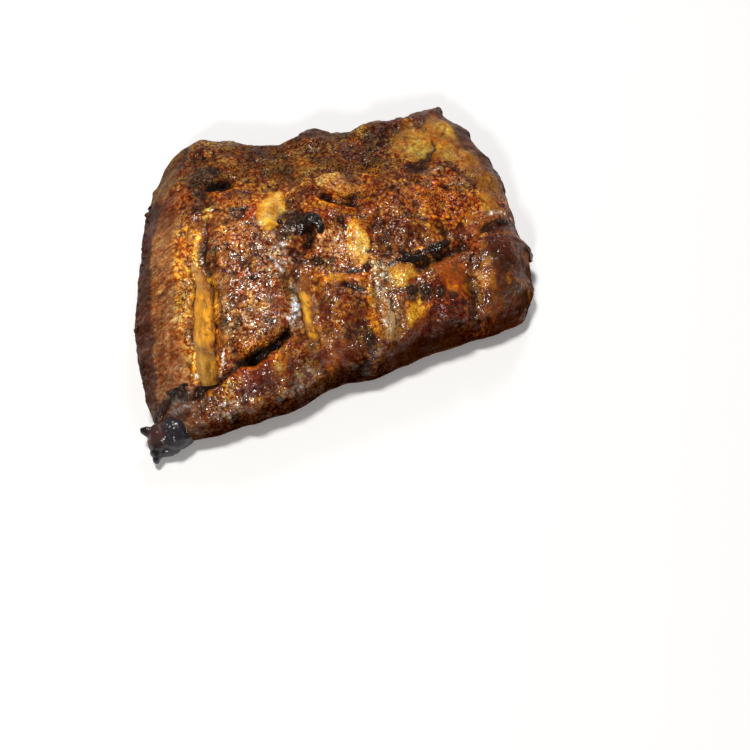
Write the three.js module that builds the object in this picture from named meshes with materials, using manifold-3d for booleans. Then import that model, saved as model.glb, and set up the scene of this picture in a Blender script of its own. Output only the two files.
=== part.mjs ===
// A cooked rack of four ribs, lying as a low arch on its two long edges.
// Millimetres, +Z up. +X runs across the ribs and +Y runs along them to the back edge.
import * as THREE from "three";
import { mergeVertices } from "three/addons/utils/BufferGeometryUtils.js";
import Module from "manifold-3d";

// ---- driving sizes ----
const crestHeight = 33; // top of the meat over the middle of the rack
const archRise = 8; // clearance under the middle of the arch
const footShare = 0.15; // share of the rack's depth, front and back, that lies flat
const rimHeight = { front: 6, back: 10 }; // widest part of the side, above the underside
const rimUnderShare = 0.057; // share of the plan over which the side rolls under the rim
const boneWidth = 12;
const boneDepth = 8;
const fitGap = 0.3; // between bone and meat

// The ribs from left to right: where each one runs, and the stretch that lies bare on top.
const ribs = [
  { x: -47, front: -50, back: 66.2, bare: [-51, 22] },
  { x: -13.7, front: -46, back: 59.6, bare: [-43, -16] },
  { x: 16, front: -43, back: 60.8, bare: [-46, -21] },
  { x: 46, front: -33, back: 67.4, bare: null },
];
// How far a bone's back lies under the dome of the meat, and the added dip at its two ends.
const boneSink = { bare: 1.6, covered: 5, front: 5, back: 5 };
const bareFade = { meat: 4, bone: 12 }; // length over which a bare stretch begins and ends
const valleyDepth = { bare: 3.2, covered: 0.8 };
const valleyHalfWidth = 6.5;
const ribRidge = { high: 1.6, halfWidth: 6 }; // what a rib makes of the underside

const crust = { high: 0.7, pitch: 5 }; // small bumps along the outline
const coarseLumps = { high: 0.9, pitch: 11 };
const fineLumps = { high: 0.7, pitch: 5.5 };

const topCells = { across: 62, along: 54 }; // even numbers: the underside has half as many
const boneSides = 12;
const boneSteps = 16;
const boneKnots = 9;

// ---- small maths ----
const clamp01 = (v) => Math.min(1, Math.max(0, v));
const smooth = (v) => clamp01(v) ** 2 * (3 - 2 * clamp01(v));
const mix = (a, b, t) => a + (b - a) * t;
const bell = (d, width) => Math.exp(-((d / width) ** 2));
const fract = (v) => v - Math.floor(v);

// Value noise from -1 to 1, with lattice points one unit apart.
function lattice(i, j, seed) {
  return 2 * fract(Math.sin(i * 127.1 + j * 311.7 + seed * 74.7) * 43758.5453) - 1;
}

function noise(x, y, seed) {
  const i = Math.floor(x);
  const j = Math.floor(y);
  const u = smooth(x - i);
  const v = smooth(y - j);
  const near = mix(lattice(i, j, seed), lattice(i + 1, j, seed), u);
  const far = mix(lattice(i, j + 1, seed), lattice(i + 1, j + 1, seed), u);
  return mix(near, far, v);
}

// ---- plan outline ----
// Each edge is a chord bowed outwards by bow, squarer at its ends where full is higher, with
// rounded knuckles of meat on it. at and width are shares of the chord, and out is how far
// a knuckle stands proud. crust picks the edge's own run of small crusty bumps.
const corner = {
  frontLeft: [-71, -61],
  frontRight: [69, -35],
  backLeft: [-57, 58],
  backRight: [57.5, 73.5],
};

const edges = {
  front: {
    from: corner.frontLeft, to: corner.frontRight, side: -1, bow: 2, full: 3, crust: 1,
    knuckles: [
      { at: 0.18, width: 0.2, out: 4.6 },
      { at: 0.34, width: 0.05, out: 2 },
      { at: 0.44, width: 0.04, out: -1 },
      { at: 0.59, width: 0.06, out: 1.5 },
      { at: 0.76, width: 0.07, out: -1.2 },
    ],
  },
  back: {
    from: corner.backLeft, to: corner.backRight, side: 1, bow: -4.5, full: 3, crust: 2,
    knuckles: [
      { at: 0.12, width: 0.1, out: 11.5 },
      { at: 0.25, width: 0.05, out: 4 },
      { at: 0.515, width: 0.045, out: 5 },
      { at: 0.64, width: 0.05, out: -2 },
      { at: 0.75, width: 0.035, out: 1.5 },
      { at: 0.82, width: 0.05, out: -3 },
    ],
  },
  left: {
    from: corner.frontLeft, to: corner.backLeft, side: 1, bow: 8.3, full: 4, crust: 3,
    knuckles: [
      { at: 0.34, width: 0.1, out: 1 },
      { at: 0.55, width: 0.04, out: 0.8 },
      { at: 0.9, width: 0.06, out: 1.5 },
    ],
  },
  right: {
    from: corner.frontRight, to: corner.backRight, side: -1, bow: 10, full: 5, crust: 4,
    knuckles: [
      { at: 0.14, width: 0.06, out: 1 },
      { at: 0.235, width: 0.025, out: 2 },
      { at: 0.33, width: 0.05, out: -1.5 },
      { at: 0.75, width: 0.12, out: -2.4 },
      { at: 0.92, width: 0.06, out: -4 },
    ],
  },
};

const cornerShare = 0.05; // knuckles fade out over this share of an edge, so corners stay put

function edgePoint(edge, t) {
  const [x0, y0] = edge.from;
  const [x1, y1] = edge.to;
  const length = Math.hypot(x1 - x0, y1 - y0);
  const ends = smooth(t / cornerShare) * smooth((1 - t) / cornerShare);
  let out = edge.bow * (1 - Math.abs(2 * t - 1) ** edge.full);
  for (const k of edge.knuckles) out += k.out * bell(t - k.at, k.width) * ends;
  out += crust.high * noise((t * length) / crust.pitch, edge.crust, 9) * ends;
  const normal = [(-(y1 - y0) / length) * edge.side, ((x1 - x0) / length) * edge.side];
  return [mix(x0, x1, t) + normal[0] * out, mix(y0, y1, t) + normal[1] * out];
}

// A point of the plan, with s from left to right and t from front to back.
function planPoint(s, t) {
  const f = edgePoint(edges.front, s);
  const b = edgePoint(edges.back, s);
  const l = edgePoint(edges.left, t);
  const r = edgePoint(edges.right, t);
  return [0, 1].map((i) => {
    const front = mix(corner.frontLeft[i], corner.frontRight[i], s);
    const back = mix(corner.backLeft[i], corner.backRight[i], s);
    return mix(f[i], b[i], t) + mix(l[i], r[i], s) - mix(front, back, t);
  });
}

// ---- main form ----
// How much of the plan's width or depth each side takes to climb from its rim to the top.
const roll = { left: 0.15, right: 0.13, front: 0.17, back: 0.11 };

// Height share of a quarter round side, from 0 at the rim to 1 where it meets the top.
const quarterRound = (share) => Math.sqrt(1 - (1 - clamp01(share)) ** 2);

// The cut left end leans back as a nearly flat slope.
const cutSlope = (share) => mix(smooth(share), clamp01(share), 0.6) * 0.8 + 0.2 * quarterRound(share * 2);

function sideClimb(s, t) {
  return (
    cutSlope(s / roll.left) * quarterRound((1 - s) / roll.right) *
    quarterRound(t / roll.front) * quarterRound((1 - t) / roll.back)
  );
}

// The top falls from the crest towards each side: by how much, and from which share on.
const fall = {
  front: { by: 7, from: 0.5, to: 0 },
  back: { by: 10, from: 0.48, to: 1.03 },
  right: { by: 6, from: 0.55, to: 1.05 },
  left: { by: 2, from: 0.3, to: 0 },
};

const fallAt = ({ by, from, to }, share) => by * smooth((share - from) / (to - from));

function domeHeight(s, t) {
  const along = fallAt(fall.front, t) + fallAt(fall.back, t);
  const across = fallAt(fall.right, s) + fallAt(fall.left, s);
  return crestHeight - along - across;
}

// The arch under the slab, which meets the flat foot strips at zero height.
function underside(t) {
  const reach = 0.5 - footShare;
  return Math.max(0, archRise * (1 - ((t - 0.5) / reach) ** 2));
}

const rimAt = (t) => mix(rimHeight.front, rimHeight.back, t);

// ---- relief of the top ----
// Swellings of meat and fat: centre, half sizes, height and turn in degrees.
const mounds = {
  leftBlock: { at: [-30, -22], size: [14, 21], high: 2.6, turn: 4 },
  leftShoulder: { at: [-30, 14], size: [13, 15], high: 1.2, turn: 0 },
  middleBlock: { at: [-2, -33], size: [9, 17], high: 2.2, turn: 0 },
  middleShoulder: { at: [-2, 8], size: [10, 16], high: 1.4, turn: 10 },
  rightShoulder: { at: [31, 8], size: [14, 18], high: 2.0, turn: -10 },
  redBlock: { at: [40, -30], size: [8, 15], high: 2.0, turn: 0 },
  endLobe: { at: [62, -20], size: [12, 19], high: 3.0, turn: -8 },
  fatCap: { at: [48, 50], size: [13, 14], high: 1.5, turn: 30 },
  paleChunk: { at: [6, 21], size: [8, 4.5], high: 3.2, turn: -14 },
  charRing: { at: [-42, 38], size: [8, 8], high: 2.0, turn: 0 },
  charLump: { at: [-14, 1.5], size: [5, 5], high: 2.0, turn: 0 },
  hookRim: { at: [-2.5, 7], size: [3.5, 5], high: 2.2, turn: 20 },
  clumpLeft: { at: [22.5, -29], size: [4, 3], high: 1.8, turn: 0 },
  clumpRight: { at: [32, -31], size: [4, 3], high: 2.0, turn: 0 },
  boneLump: { at: [-43, -3], size: [4, 4], high: 2.0, turn: 0 },
};

// Grooves, tears and ridges: a path, its half width and how far it stands up or sinks.
const grooves = {
  flapTear: {
    path: [[-54, -56], [-46, -53], [-38.5, -48], [-30, -45.5], [-19, -40]],
    width: 3.2,
    high: -4.5,
  },
  flapLip: { path: [[-43, -42], [-37, -41.5], [-29, -39.5], [-19, -35]], width: 3.5, high: 1.4 },
  middleTear: { path: [[-1, -53], [7, -48], [12, -50]], width: 2.8, high: -2.4 },
  rightTear: { path: [[18, -50], [30, -46.5], [40, -43.5]], width: 3, high: -2.2 },
  blackRidge: { path: [[19, -16.5], [25, -15], [33, -12.5], [45, -9]], width: 2.6, high: 2.6 },
  ridgeFoot: { path: [[17, -20.5], [26, -19], [35, -17], [46, -14]], width: 2.6, high: -1.8 },
  endCrease: { path: [[51, -6], [51, -20], [49, -37]], width: 3, high: -2.4 },
  lobeCrease: { path: [[50, -8], [61, -4], [73, 4]], width: 3, high: -2.8 },
  fatStreak: { path: [[32, 28], [39, 30], [45, 34], [50, 41]], width: 2.4, high: -1.8 },
  charPit: { path: [[-42, 31], [-38, 36]], width: 3.2, high: -4.5 },
  hookPit: { path: [[-9, 1], [-6, 4]], width: 2.8, high: -4.0 },
  crack: { path: [[3, -20.5], [12, -20]], width: 2, high: -1.6 },
  backLip: { path: [[20, 54], [34, 55], [52, 64]], width: 4, high: 2 },
};

function moundHeight(m, x, y) {
  const a = THREE.MathUtils.degToRad(m.turn);
  const dx = x - m.at[0];
  const dy = y - m.at[1];
  const u = (dx * Math.cos(a) + dy * Math.sin(a)) / m.size[0];
  const v = (dy * Math.cos(a) - dx * Math.sin(a)) / m.size[1];
  return m.high * smooth(1.25 - 0.95 * Math.hypot(u, v));
}

function pathDistance(path, x, y) {
  let nearest = Infinity;
  for (let i = 0; i + 1 < path.length; i++) {
    const [ax, ay] = path[i];
    const [bx, by] = path[i + 1];
    const run = (bx - ax) ** 2 + (by - ay) ** 2;
    const share = clamp01(((x - ax) * (bx - ax) + (y - ay) * (by - ay)) / run);
    nearest = Math.min(nearest, Math.hypot(x - mix(ax, bx, share), y - mix(ay, by, share)));
  }
  return nearest;
}

// How bare a rib is at y, from 0 where it is covered to 1, changing over the length fade.
function bareness(rib, y, fade) {
  if (!rib.bare) return 0;
  return smooth((y - rib.bare[0]) / fade + 1) * smooth((rib.bare[1] - y) / fade + 1);
}

// Flat bottomed valleys along the ribs.
function ribValley(x, y) {
  let depth = 0;
  for (const rib of ribs) {
    const floor = mix(valleyDepth.covered, valleyDepth.bare, bareness(rib, y, bareFade.meat));
    depth += floor * Math.exp(-(((x - rib.x) / valleyHalfWidth) ** 4));
  }
  return depth;
}

// 1 over the bare stretch of a rib, where the surface is smooth, falling to 0 beside it.
function nearBareRib(x, y) {
  const shares = ribs.map((rib) => bareness(rib, y, bareFade.meat) * bell(x - rib.x, valleyHalfWidth));
  return Math.max(...shares);
}

function relief(x, y) {
  let h = -ribValley(x, y);
  for (const m of Object.values(mounds)) h += moundHeight(m, x, y);
  for (const g of Object.values(grooves)) h += g.high * bell(pathDistance(g.path, x, y), g.width);
  const coarse = coarseLumps.high * noise(x / coarseLumps.pitch, y / coarseLumps.pitch, 1);
  const fine = fineLumps.high * noise(x / fineLumps.pitch, y / fineLumps.pitch, 2);
  return h + (coarse + fine) * (1 - 0.8 * nearBareRib(x, y));
}

function topPoint(s, t) {
  const [x, y] = planPoint(s, t);
  const climb = sideClimb(s, t);
  const rim = underside(t) + rimAt(t);
  return [x, y, mix(rim, domeHeight(s, t), climb) + relief(x, y) * smooth(climb * 1.6)];
}

// The underside rolls in from the rim, then follows the arch, with the ribs as low ridges.
function bottomPoint(s, t) {
  const [x, y] = planPoint(s, t);
  const inwards = quarterRound(Math.min(s, 1 - s, t, 1 - t) / rimUnderShare);
  const under = underside(t);
  let lift = ribRidge.high + coarseLumps.high * noise(x / coarseLumps.pitch, y / coarseLumps.pitch, 3);
  for (const rib of ribs) lift -= ribRidge.high * bell(x - rib.x, ribRidge.halfWidth);
  return [x, y, under + mix(rimAt(t), lift * clamp01(under / 3), inwards)];
}

// ---- solids ----
// Cells are closer together towards a side, so that its curve is followed evenly.
function spread(count, low, high) {
  const lowArc = (low * Math.PI) / 2;
  const highArc = (high * Math.PI) / 2;
  const flat = 1 - low - high;
  const total = lowArc + flat + highArc;
  return Array.from({ length: count + 1 }, (_, i) => {
    const along = (i / count) * total;
    if (along < lowArc) return low * (1 - Math.cos(along / low));
    if (along <= lowArc + flat) return low + along - lowArc;
    return 1 - high * (1 - Math.cos((total - along) / high));
  });
}

// One closed surface: a fine top grid, and an underside with half as many cells each way
// whose outer cells take in every vertex of the shared rim.
function slabGeometry() {
  const nx = topCells.across;
  const ny = topCells.along;
  const ss = spread(nx, roll.left, roll.right);
  const ts = spread(ny, roll.front, roll.back);
  const positions = [];
  const triangles = [];
  const top = (i, j) => j * (nx + 1) + i;
  for (const t of ts) for (const s of ss) positions.push(...topPoint(s, t));
  for (let j = 0; j < ny; j++) {
    for (let i = 0; i < nx; i++) {
      const [a, b, c, d] = [top(i, j), top(i + 1, j), top(i + 1, j + 1), top(i, j + 1)];
      if ((i + j) % 2) triangles.push(a, b, d, b, c, d);
      else triangles.push(a, b, c, a, c, d);
    }
  }
  const inner = new Map();
  const low = (i, j) => {
    if (i === 0 || j === 0 || i === nx || j === ny) return top(i, j);
    const key = i + "," + j;
    if (!inner.has(key)) {
      inner.set(key, positions.length / 3);
      positions.push(...bottomPoint(ss[i], ts[j]));
    }
    return inner.get(key);
  };
  for (let j = 0; j < ny; j += 2) {
    for (let i = 0; i < nx; i += 2) {
      const ring = [low(i, j)];
      if (j === 0) ring.push(top(i + 1, 0));
      ring.push(low(i + 2, j));
      if (i + 2 === nx) ring.push(top(nx, j + 1));
      ring.push(low(i + 2, j + 2));
      if (j + 2 === ny) ring.push(top(i + 1, ny));
      ring.push(low(i, j + 2));
      if (i === 0) ring.push(top(0, j + 1));
      const centre = low(i + 1, j + 1);
      const fan = ring.length > 4;
      if (fan) ring.forEach((v, k) => triangles.push(centre, ring[(k + 1) % ring.length], v));
      else triangles.push(ring[0], ring[2], ring[1], ring[0], ring[3], ring[2]);
    }
  }
  const geometry = new THREE.BufferGeometry();
  geometry.setAttribute("position", new THREE.Float32BufferAttribute(positions, 3));
  geometry.setIndex(triangles);
  return geometry;
}

// The shares s and t of a plan point, found by walking to it.
function sharesAt(x, y) {
  let s = 0.5;
  let t = 0.5;
  for (let step = 0; step < 30; step++) {
    const [px, py] = planPoint(s, t);
    s = clamp01(s + (x - px) / 150);
    t = clamp01(t + (y - py) / 120);
  }
  return [s, t];
}

// A rib bone: an oval section swept along the rib, a little under the dome of the meat.
function boneCentre(rib, y) {
  const [s, t] = sharesAt(rib.x, y);
  const cover = mix(boneSink.covered, boneSink.bare, bareness(rib, y, bareFade.bone));
  const dip = boneSink.front * smooth((0.24 - t) / 0.24) + boneSink.back * smooth((t - 0.55) / 0.45);
  return domeHeight(s, t) - cover - dip - boneDepth / 2;
}

function boneGeometry(rib, extra) {
  const points = Array.from({ length: boneKnots }, (_, k) => {
    const y = mix(rib.front, rib.back, k / (boneKnots - 1));
    return new THREE.Vector3(rib.x, y, boneCentre(rib, y));
  });
  const section = new THREE.Shape();
  section.absellipse(0, 0, boneWidth / 2 + extra, boneDepth / 2 + extra, 0, Math.PI * 2, false, 0);
  const shape = new THREE.Shape(section.getSpacedPoints(boneSides).slice(0, boneSides));
  return new THREE.ExtrudeGeometry(shape, {
    steps: boneSteps,
    extrudePath: new THREE.CatmullRomCurve3(points),
    curveSegments: 1,
  });
}

const wasm = await Module();
wasm.setup();

function toSolid(geometry) {
  const bare = geometry.clone();
  bare.deleteAttribute("normal");
  bare.deleteAttribute("uv");
  const merged = mergeVertices(bare, 1e-4);
  return new wasm.Manifold(
    new wasm.Mesh({
      numProp: 3,
      vertProperties: new Float32Array(merged.attributes.position.array),
      triVerts: new Uint32Array(merged.index.array),
    }),
  );
}

function toGeometry(solid) {
  const mesh = solid.getMesh();
  const geometry = new THREE.BufferGeometry();
  geometry.setAttribute("position", new THREE.BufferAttribute(new Float32Array(mesh.vertProperties), 3));
  geometry.setIndex(new THREE.BufferAttribute(new Uint32Array(mesh.triVerts), 1));
  geometry.computeVertexNormals();
  return geometry;
}

// The charred front left corner: a shrivelled knob with two horns.
const tipLumps = [
  { at: [-66, -57, 7.4], size: [10.5, 9.5, 7.2], turn: 30 },
  { at: [-71, -62, 6], size: [4.6, 8.2, 5], turn: -25 },
  { at: [-65, -61.5, 5], size: [6, 5, 4.5], turn: 20 },
  { at: [-73.5, -57.5, 7], size: [5, 2.6, 3], turn: -10 },
];

function lumpGeometry({ at, size, turn }) {
  const lump = new THREE.IcosahedronGeometry(1, 2);
  lump.scale(...size);
  lump.rotateZ(THREE.MathUtils.degToRad(turn));
  lump.translate(...at);
  return lump;
}

const material = {
  meat: new THREE.MeshStandardMaterial({ color: 0x6b2f14, roughness: 0.45, metalness: 0 }),
  bone: new THREE.MeshStandardMaterial({ color: 0xc08a2e, roughness: 0.4, metalness: 0 }),
};

const rack = new THREE.Group();

let meat = toSolid(slabGeometry());
for (const lump of tipLumps) meat = meat.add(toSolid(lumpGeometry(lump)));
for (const rib of ribs) meat = meat.subtract(toSolid(boneGeometry(rib, fitGap)));
const meatMesh = new THREE.Mesh(toGeometry(meat), material.meat);
meatMesh.name = "meat";
rack.add(meatMesh);

ribs.forEach((rib, index) => {
  const bone = new THREE.Mesh(boneGeometry(rib, 0), material.bone);
  bone.name = "rib_bone_" + (index + 1);
  rack.add(bone);
});

// The origin goes under the middle of the bounding box.
const bounds = new THREE.Box3().setFromObject(rack);
const middle = bounds.getCenter(new THREE.Vector3());
rack.position.set(-middle.x, -middle.y, -bounds.min.z);

export default rack;
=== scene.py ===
# Rack of ribs: the slab of meat, its bones, its charred corner and the crumbs of char on it.
# The form is worked out in millimetres, as in the part's source, and written in metres.
import math

import bmesh
import bpy
import numpy as np
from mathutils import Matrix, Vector


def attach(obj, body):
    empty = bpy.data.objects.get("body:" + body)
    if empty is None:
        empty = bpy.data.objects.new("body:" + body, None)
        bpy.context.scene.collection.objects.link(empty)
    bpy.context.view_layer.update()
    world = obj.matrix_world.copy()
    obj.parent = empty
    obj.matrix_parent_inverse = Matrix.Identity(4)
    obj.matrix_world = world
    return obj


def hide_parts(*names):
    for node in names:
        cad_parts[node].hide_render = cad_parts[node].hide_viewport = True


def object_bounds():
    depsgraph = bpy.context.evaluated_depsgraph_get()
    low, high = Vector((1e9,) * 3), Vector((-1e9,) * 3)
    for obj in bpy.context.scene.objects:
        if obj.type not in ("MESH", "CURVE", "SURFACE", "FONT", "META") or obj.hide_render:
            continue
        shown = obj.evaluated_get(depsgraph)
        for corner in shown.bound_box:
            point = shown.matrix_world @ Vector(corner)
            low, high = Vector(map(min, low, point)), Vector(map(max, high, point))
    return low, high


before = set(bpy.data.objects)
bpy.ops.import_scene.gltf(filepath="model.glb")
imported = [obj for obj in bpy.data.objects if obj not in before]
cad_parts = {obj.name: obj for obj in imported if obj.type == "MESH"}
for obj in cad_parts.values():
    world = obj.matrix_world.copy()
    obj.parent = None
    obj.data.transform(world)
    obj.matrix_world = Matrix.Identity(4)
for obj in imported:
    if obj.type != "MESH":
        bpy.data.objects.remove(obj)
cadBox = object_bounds()

mm = 0.001
shift = (0.178, -1.914, 0)  # from the form's own origin to the middle of the rack's box


def clamp01(v):
    return np.clip(v, 0, 1)


def smooth(v):
    v = clamp01(v)
    return v * v * (3 - 2 * v)


def mix(a, b, t):
    return a + (b - a) * t


def bell(d, width):
    return np.exp(-((d / width) ** 2))


def lattice(i, j, seed):
    v = np.sin(i * 127.1 + j * 311.7 + seed * 74.7) * 43758.5453
    return 2 * (v - np.floor(v)) - 1


def noise(x, y, seed):  # value noise from -1 to 1, with lattice points one unit apart
    i, j = np.floor(x), np.floor(y)
    u, v = smooth(x - i), smooth(y - j)
    near = mix(lattice(i, j, seed), lattice(i + 1, j, seed), u)
    far = mix(lattice(i, j + 1, seed), lattice(i + 1, j + 1, seed), u)
    return mix(near, far, v)


def layered(x, y, pitch, layers, seed):  # noise with finer layers, turned so no lattice shows
    firstTurn, turnBy, weightBy, pitchBy = 0.6, 1.1, 0.55, 0.52
    total, size, weight = 0, 0, 1
    for k in range(layers):
        a = firstTurn + turnBy * k
        u = (x * math.cos(a) + y * math.sin(a)) / pitch
        v = (y * math.cos(a) - x * math.sin(a)) / pitch
        total = total + weight * noise(u, v, seed + k)
        size += weight
        weight *= weightBy
        pitch *= pitchBy
    return total / size


def layered3(p, pitch, layers, seed):  # layered noise for round things, from three flat ones
    x, y, z = p.T
    flat = layered(x, y, pitch, layers, seed) + layered(y, z + 17, pitch, layers, seed + 5)
    return (flat + layered(z + 31, x, pitch, layers, seed + 9)) / 1.8


def nearestCell(x, y, pitch, seed):  # distance to the nearest of scattered points
    u, v = x / pitch, y / pitch
    near, scatter = np.full_like(u, 9.0), 0.45
    for di in (-1, 0, 1):
        for dj in (-1, 0, 1):
            i, j = np.floor(u) + di, np.floor(v) + dj
            du = i + 0.5 + scatter * lattice(i, j, seed) - u
            dv = j + 0.5 + scatter * lattice(i, j, seed + 3) - v
            near = np.minimum(near, np.hypot(du, dv))
    return near


# The slab's form, as in the part's source.
slab = dict(
    crestHeight=33, archRise=8, footShare=0.15, rimFront=6, rimBack=10, rimUnderShare=0.057,
    rollLeft=0.15, rollRight=0.13, rollFront=0.17, rollBack=0.11,
    crustHigh=0.7, crustPitch=5,
    cellsAcross=304, cellsAlong=272, undersideCoarser=4,
)
corner = dict(frontLeft=(-71, -61), frontRight=(69, -35), backLeft=(-57, 58), backRight=(57.5, 73.5))
# Edges of the plan: corners, which side is out, bow, and knuckles by place, width and how far out.
edges = dict(
    front=dict(
        ends=("frontLeft", "frontRight"), side=-1, bow=2, full=3, crust=1,
        knuckles=[(0.18, 0.2, 4.6), (0.34, 0.05, 2), (0.44, 0.04, -1), (0.59, 0.06, 1.5),
                  (0.76, 0.07, -1.2)],
    ),
    back=dict(
        ends=("backLeft", "backRight"), side=1, bow=-4.5, full=3, crust=2,
        knuckles=[(0.12, 0.1, 11.5), (0.25, 0.05, 4), (0.515, 0.045, 5), (0.64, 0.05, -2),
                  (0.75, 0.035, 1.5), (0.82, 0.05, -3)],
    ),
    left=dict(
        ends=("frontLeft", "backLeft"), side=1, bow=8.3, full=4, crust=3,
        knuckles=[(0.34, 0.1, 1), (0.55, 0.04, 0.8), (0.9, 0.06, 1.5)],
    ),
    right=dict(
        ends=("frontRight", "backRight"), side=-1, bow=10, full=5, crust=4,
        knuckles=[(0.14, 0.06, 1), (0.235, 0.025, 2), (0.33, 0.05, -1.5), (0.75, 0.12, -2.4),
                  (0.92, 0.06, -4)],
    ),
)
falls = dict(front=(7, 0.5, 0), back=(10, 0.48, 1.03), right=(6, 0.55, 1.05), left=(2, 0.3, 0))

# Ribs: node, middle line, ends, bare stretch, skin, half width that shows, how far meat stands
# beside it, its bends, the film of meat left on it, and the tones of the meat to its left and right.
plainFlank = (120, 64, 22)
ribs = [
    dict(
        node="rib_bone_1", x=-47, front=-50, back=66.2, bare=(-49, 14), skin="gold", half=3.3, flush=1.5,
        bend=[(-50, -50.2), (-40, -49.8), (-25, -48.8), (-15, -47.6), (-4, -49.2), (3, -47.8), (12, -47.2),
              (30, -47)],
        film=[(-50, 0.6), (-42, 0.5), (-39, 1.0), (-34, 0.6), (-24, 0.7), (-15, 1.1), (-8, 1.5), (6, 1.6),
              (14, 1.8)],
        flanks=((170, 120, 62), plainFlank),
    ),
    dict(
        node="rib_bone_2", x=-13.7, front=-44, back=59.6, bare=(-41, -15), skin="yellow", half=2, flush=0.6,
        bend=[(-44, -11.2), (-38, -12), (-30, -12), (-18, -12.6), (0, -13.4), (20, -13.7)],
        film=[(-44, 2.6), (-41.4, 1.9), (-39, 1.0), (-30, 0.7), (-24, 0.8), (-19, 1.1), (-15, 1.9)],
        flanks=(plainFlank, plainFlank),
    ),
    dict(
        node="rib_bone_3", x=16, front=-41, back=60.8, bare=(-40, -21), skin="grey", half=2.2, flush=0.6,
        bend=[(-41, 16), (60, 16)], film=[(-40, 2.7), (-30, 2.3), (-21, 2.3)],
        flanks=((176, 138, 92), (176, 138, 92)),
    ),
    dict(
        node="rib_bone_4", x=46, front=-33, back=67.4, bare=None, skin="gold",
        bend=[(-33, 46), (67, 46)], flanks=(plainFlank, plainFlank),
    ),
]
boneForm = dict(width=12, depth=8, sinkBare=1.6, sinkCovered=6.2, dipBack=5, fade=6,
                sides=48, steps=150, endInset=1.1, frontTaper=8, frontShare=0.55)
valley = dict(bare=3.2, covered=0.8, halfWidth=6.5, fade=4)


def edgePoint(name, t):
    e = edges[name]
    (x0, y0), (x1, y1) = (corner[n] for n in e["ends"])
    length = math.hypot(x1 - x0, y1 - y0)
    endShare = 0.05
    ends = smooth(t / endShare) * smooth((1 - t) / endShare)
    out = e["bow"] * (1 - np.abs(2 * t - 1) ** e["full"])
    for at, width, by in e["knuckles"]:
        out = out + by * bell(t - at, width) * ends
    out = out + slab["crustHigh"] * noise(t * length / slab["crustPitch"], e["crust"] + 0 * t, 9) * ends
    nx, ny = -(y1 - y0) / length * e["side"], (x1 - x0) / length * e["side"]
    return mix(x0, x1, t) + nx * out, mix(y0, y1, t) + ny * out


def planPoint(s, t):  # s from left to right and t from front to back
    f, b = edgePoint("front", s), edgePoint("back", s)
    l, r = edgePoint("left", t), edgePoint("right", t)
    place = []
    for i in (0, 1):
        front = mix(corner["frontLeft"][i], corner["frontRight"][i], s)
        back = mix(corner["backLeft"][i], corner["backRight"][i], s)
        place.append(mix(f[i], b[i], t) + mix(l[i], r[i], s) - mix(front, back, t))
    return place


def quarterRound(share):
    return np.sqrt(1 - (1 - clamp01(share)) ** 2)


def cutSlope(share):
    return mix(smooth(share), clamp01(share), 0.6) * 0.8 + 0.2 * quarterRound(share * 2)


def sideClimb(s, t):
    across = cutSlope(s / slab["rollLeft"]) * quarterRound((1 - s) / slab["rollRight"])
    return across * quarterRound(t / slab["rollFront"]) * quarterRound((1 - t) / slab["rollBack"])


def domeHeight(s, t):
    height = slab["crestHeight"]
    for name, (by, start, end) in falls.items():
        share = t if name in ("front", "back") else s
        height = height - by * smooth((share - start) / (end - start))
    return height


def underside(t):
    reach = 0.5 - slab["footShare"]
    return np.maximum(0, slab["archRise"] * (1 - ((t - 0.5) / reach) ** 2))


def rimAt(t):
    return mix(slab["rimFront"], slab["rimBack"], t)


def topShare(climb):  # 0 at the rim and 1 on the top
    return smooth(climb * 1.6)


def spread(u, low, high):  # cells lie closer together towards a side
    lowArc, highArc, flat = low * math.pi / 2, high * math.pi / 2, 1 - low - high
    along = u * (lowArc + flat + highArc)
    left = low * (1 - np.cos(np.minimum(along, lowArc) / low))
    right = 1 - high * (1 - np.cos(np.minimum(lowArc + flat + highArc - along, highArc) / high))
    return np.where(along < lowArc, left, np.where(along <= lowArc + flat, low + along - lowArc, right))


# Swellings of the top: centre, half sizes, height and turn in degrees.
mounds = dict(
    leftBlock=((-30, -22), (14, 21), 2.6, 4), leftShoulder=((-30, 14), (13, 15), 1.2, 0),
    middleBlock=((-2, -33), (9, 17), 2.2, 0), middleShoulder=((-2, 8), (10, 16), 1.4, 10),
    rightShoulder=((31, 8), (14, 18), 2.0, -10), redBlock=((40, -30), (8, 15), 2.0, 0),
    endLobe=((62, -20), (12, 19), 3.0, -8), fatCap=((48, 50), (13, 14), 1.5, 30),
    paleChunk=((6, 20), (7, 4.5), 1.6, -14), charRing=((-43, 35), (6, 8), 2.2, 0),
    charLump=((-13.5, 5), (4.5, 5), 1.8, 0), hookRim=((-3, 2), (3, 5), 1.6, 20),
    clumpLeft=((26.4, -28.4), (3, 2.4), 1.2, 0), clumpRight=((31.6, -28.8), (3, 2.6), 1.4, 0),
    boneLump=((-42, -3), (4, 4), 1.6, 0), creamBump=((11, -7), (4, 9), 1.0, 0),
    paleBump=((-19, 13), (4, 9), 1.0, -20),
)
ridgePath = [(25.8, -11.7), (26.5, -14.1), (29.8, -16.1), (34.1, -13.1), (39.5, -10.9), (44.4, -8.9)]
stripPath = [(19.9, -17.2), (23.6, -15.6), (27.8, -16.8), (31.8, -19.3)]
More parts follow.
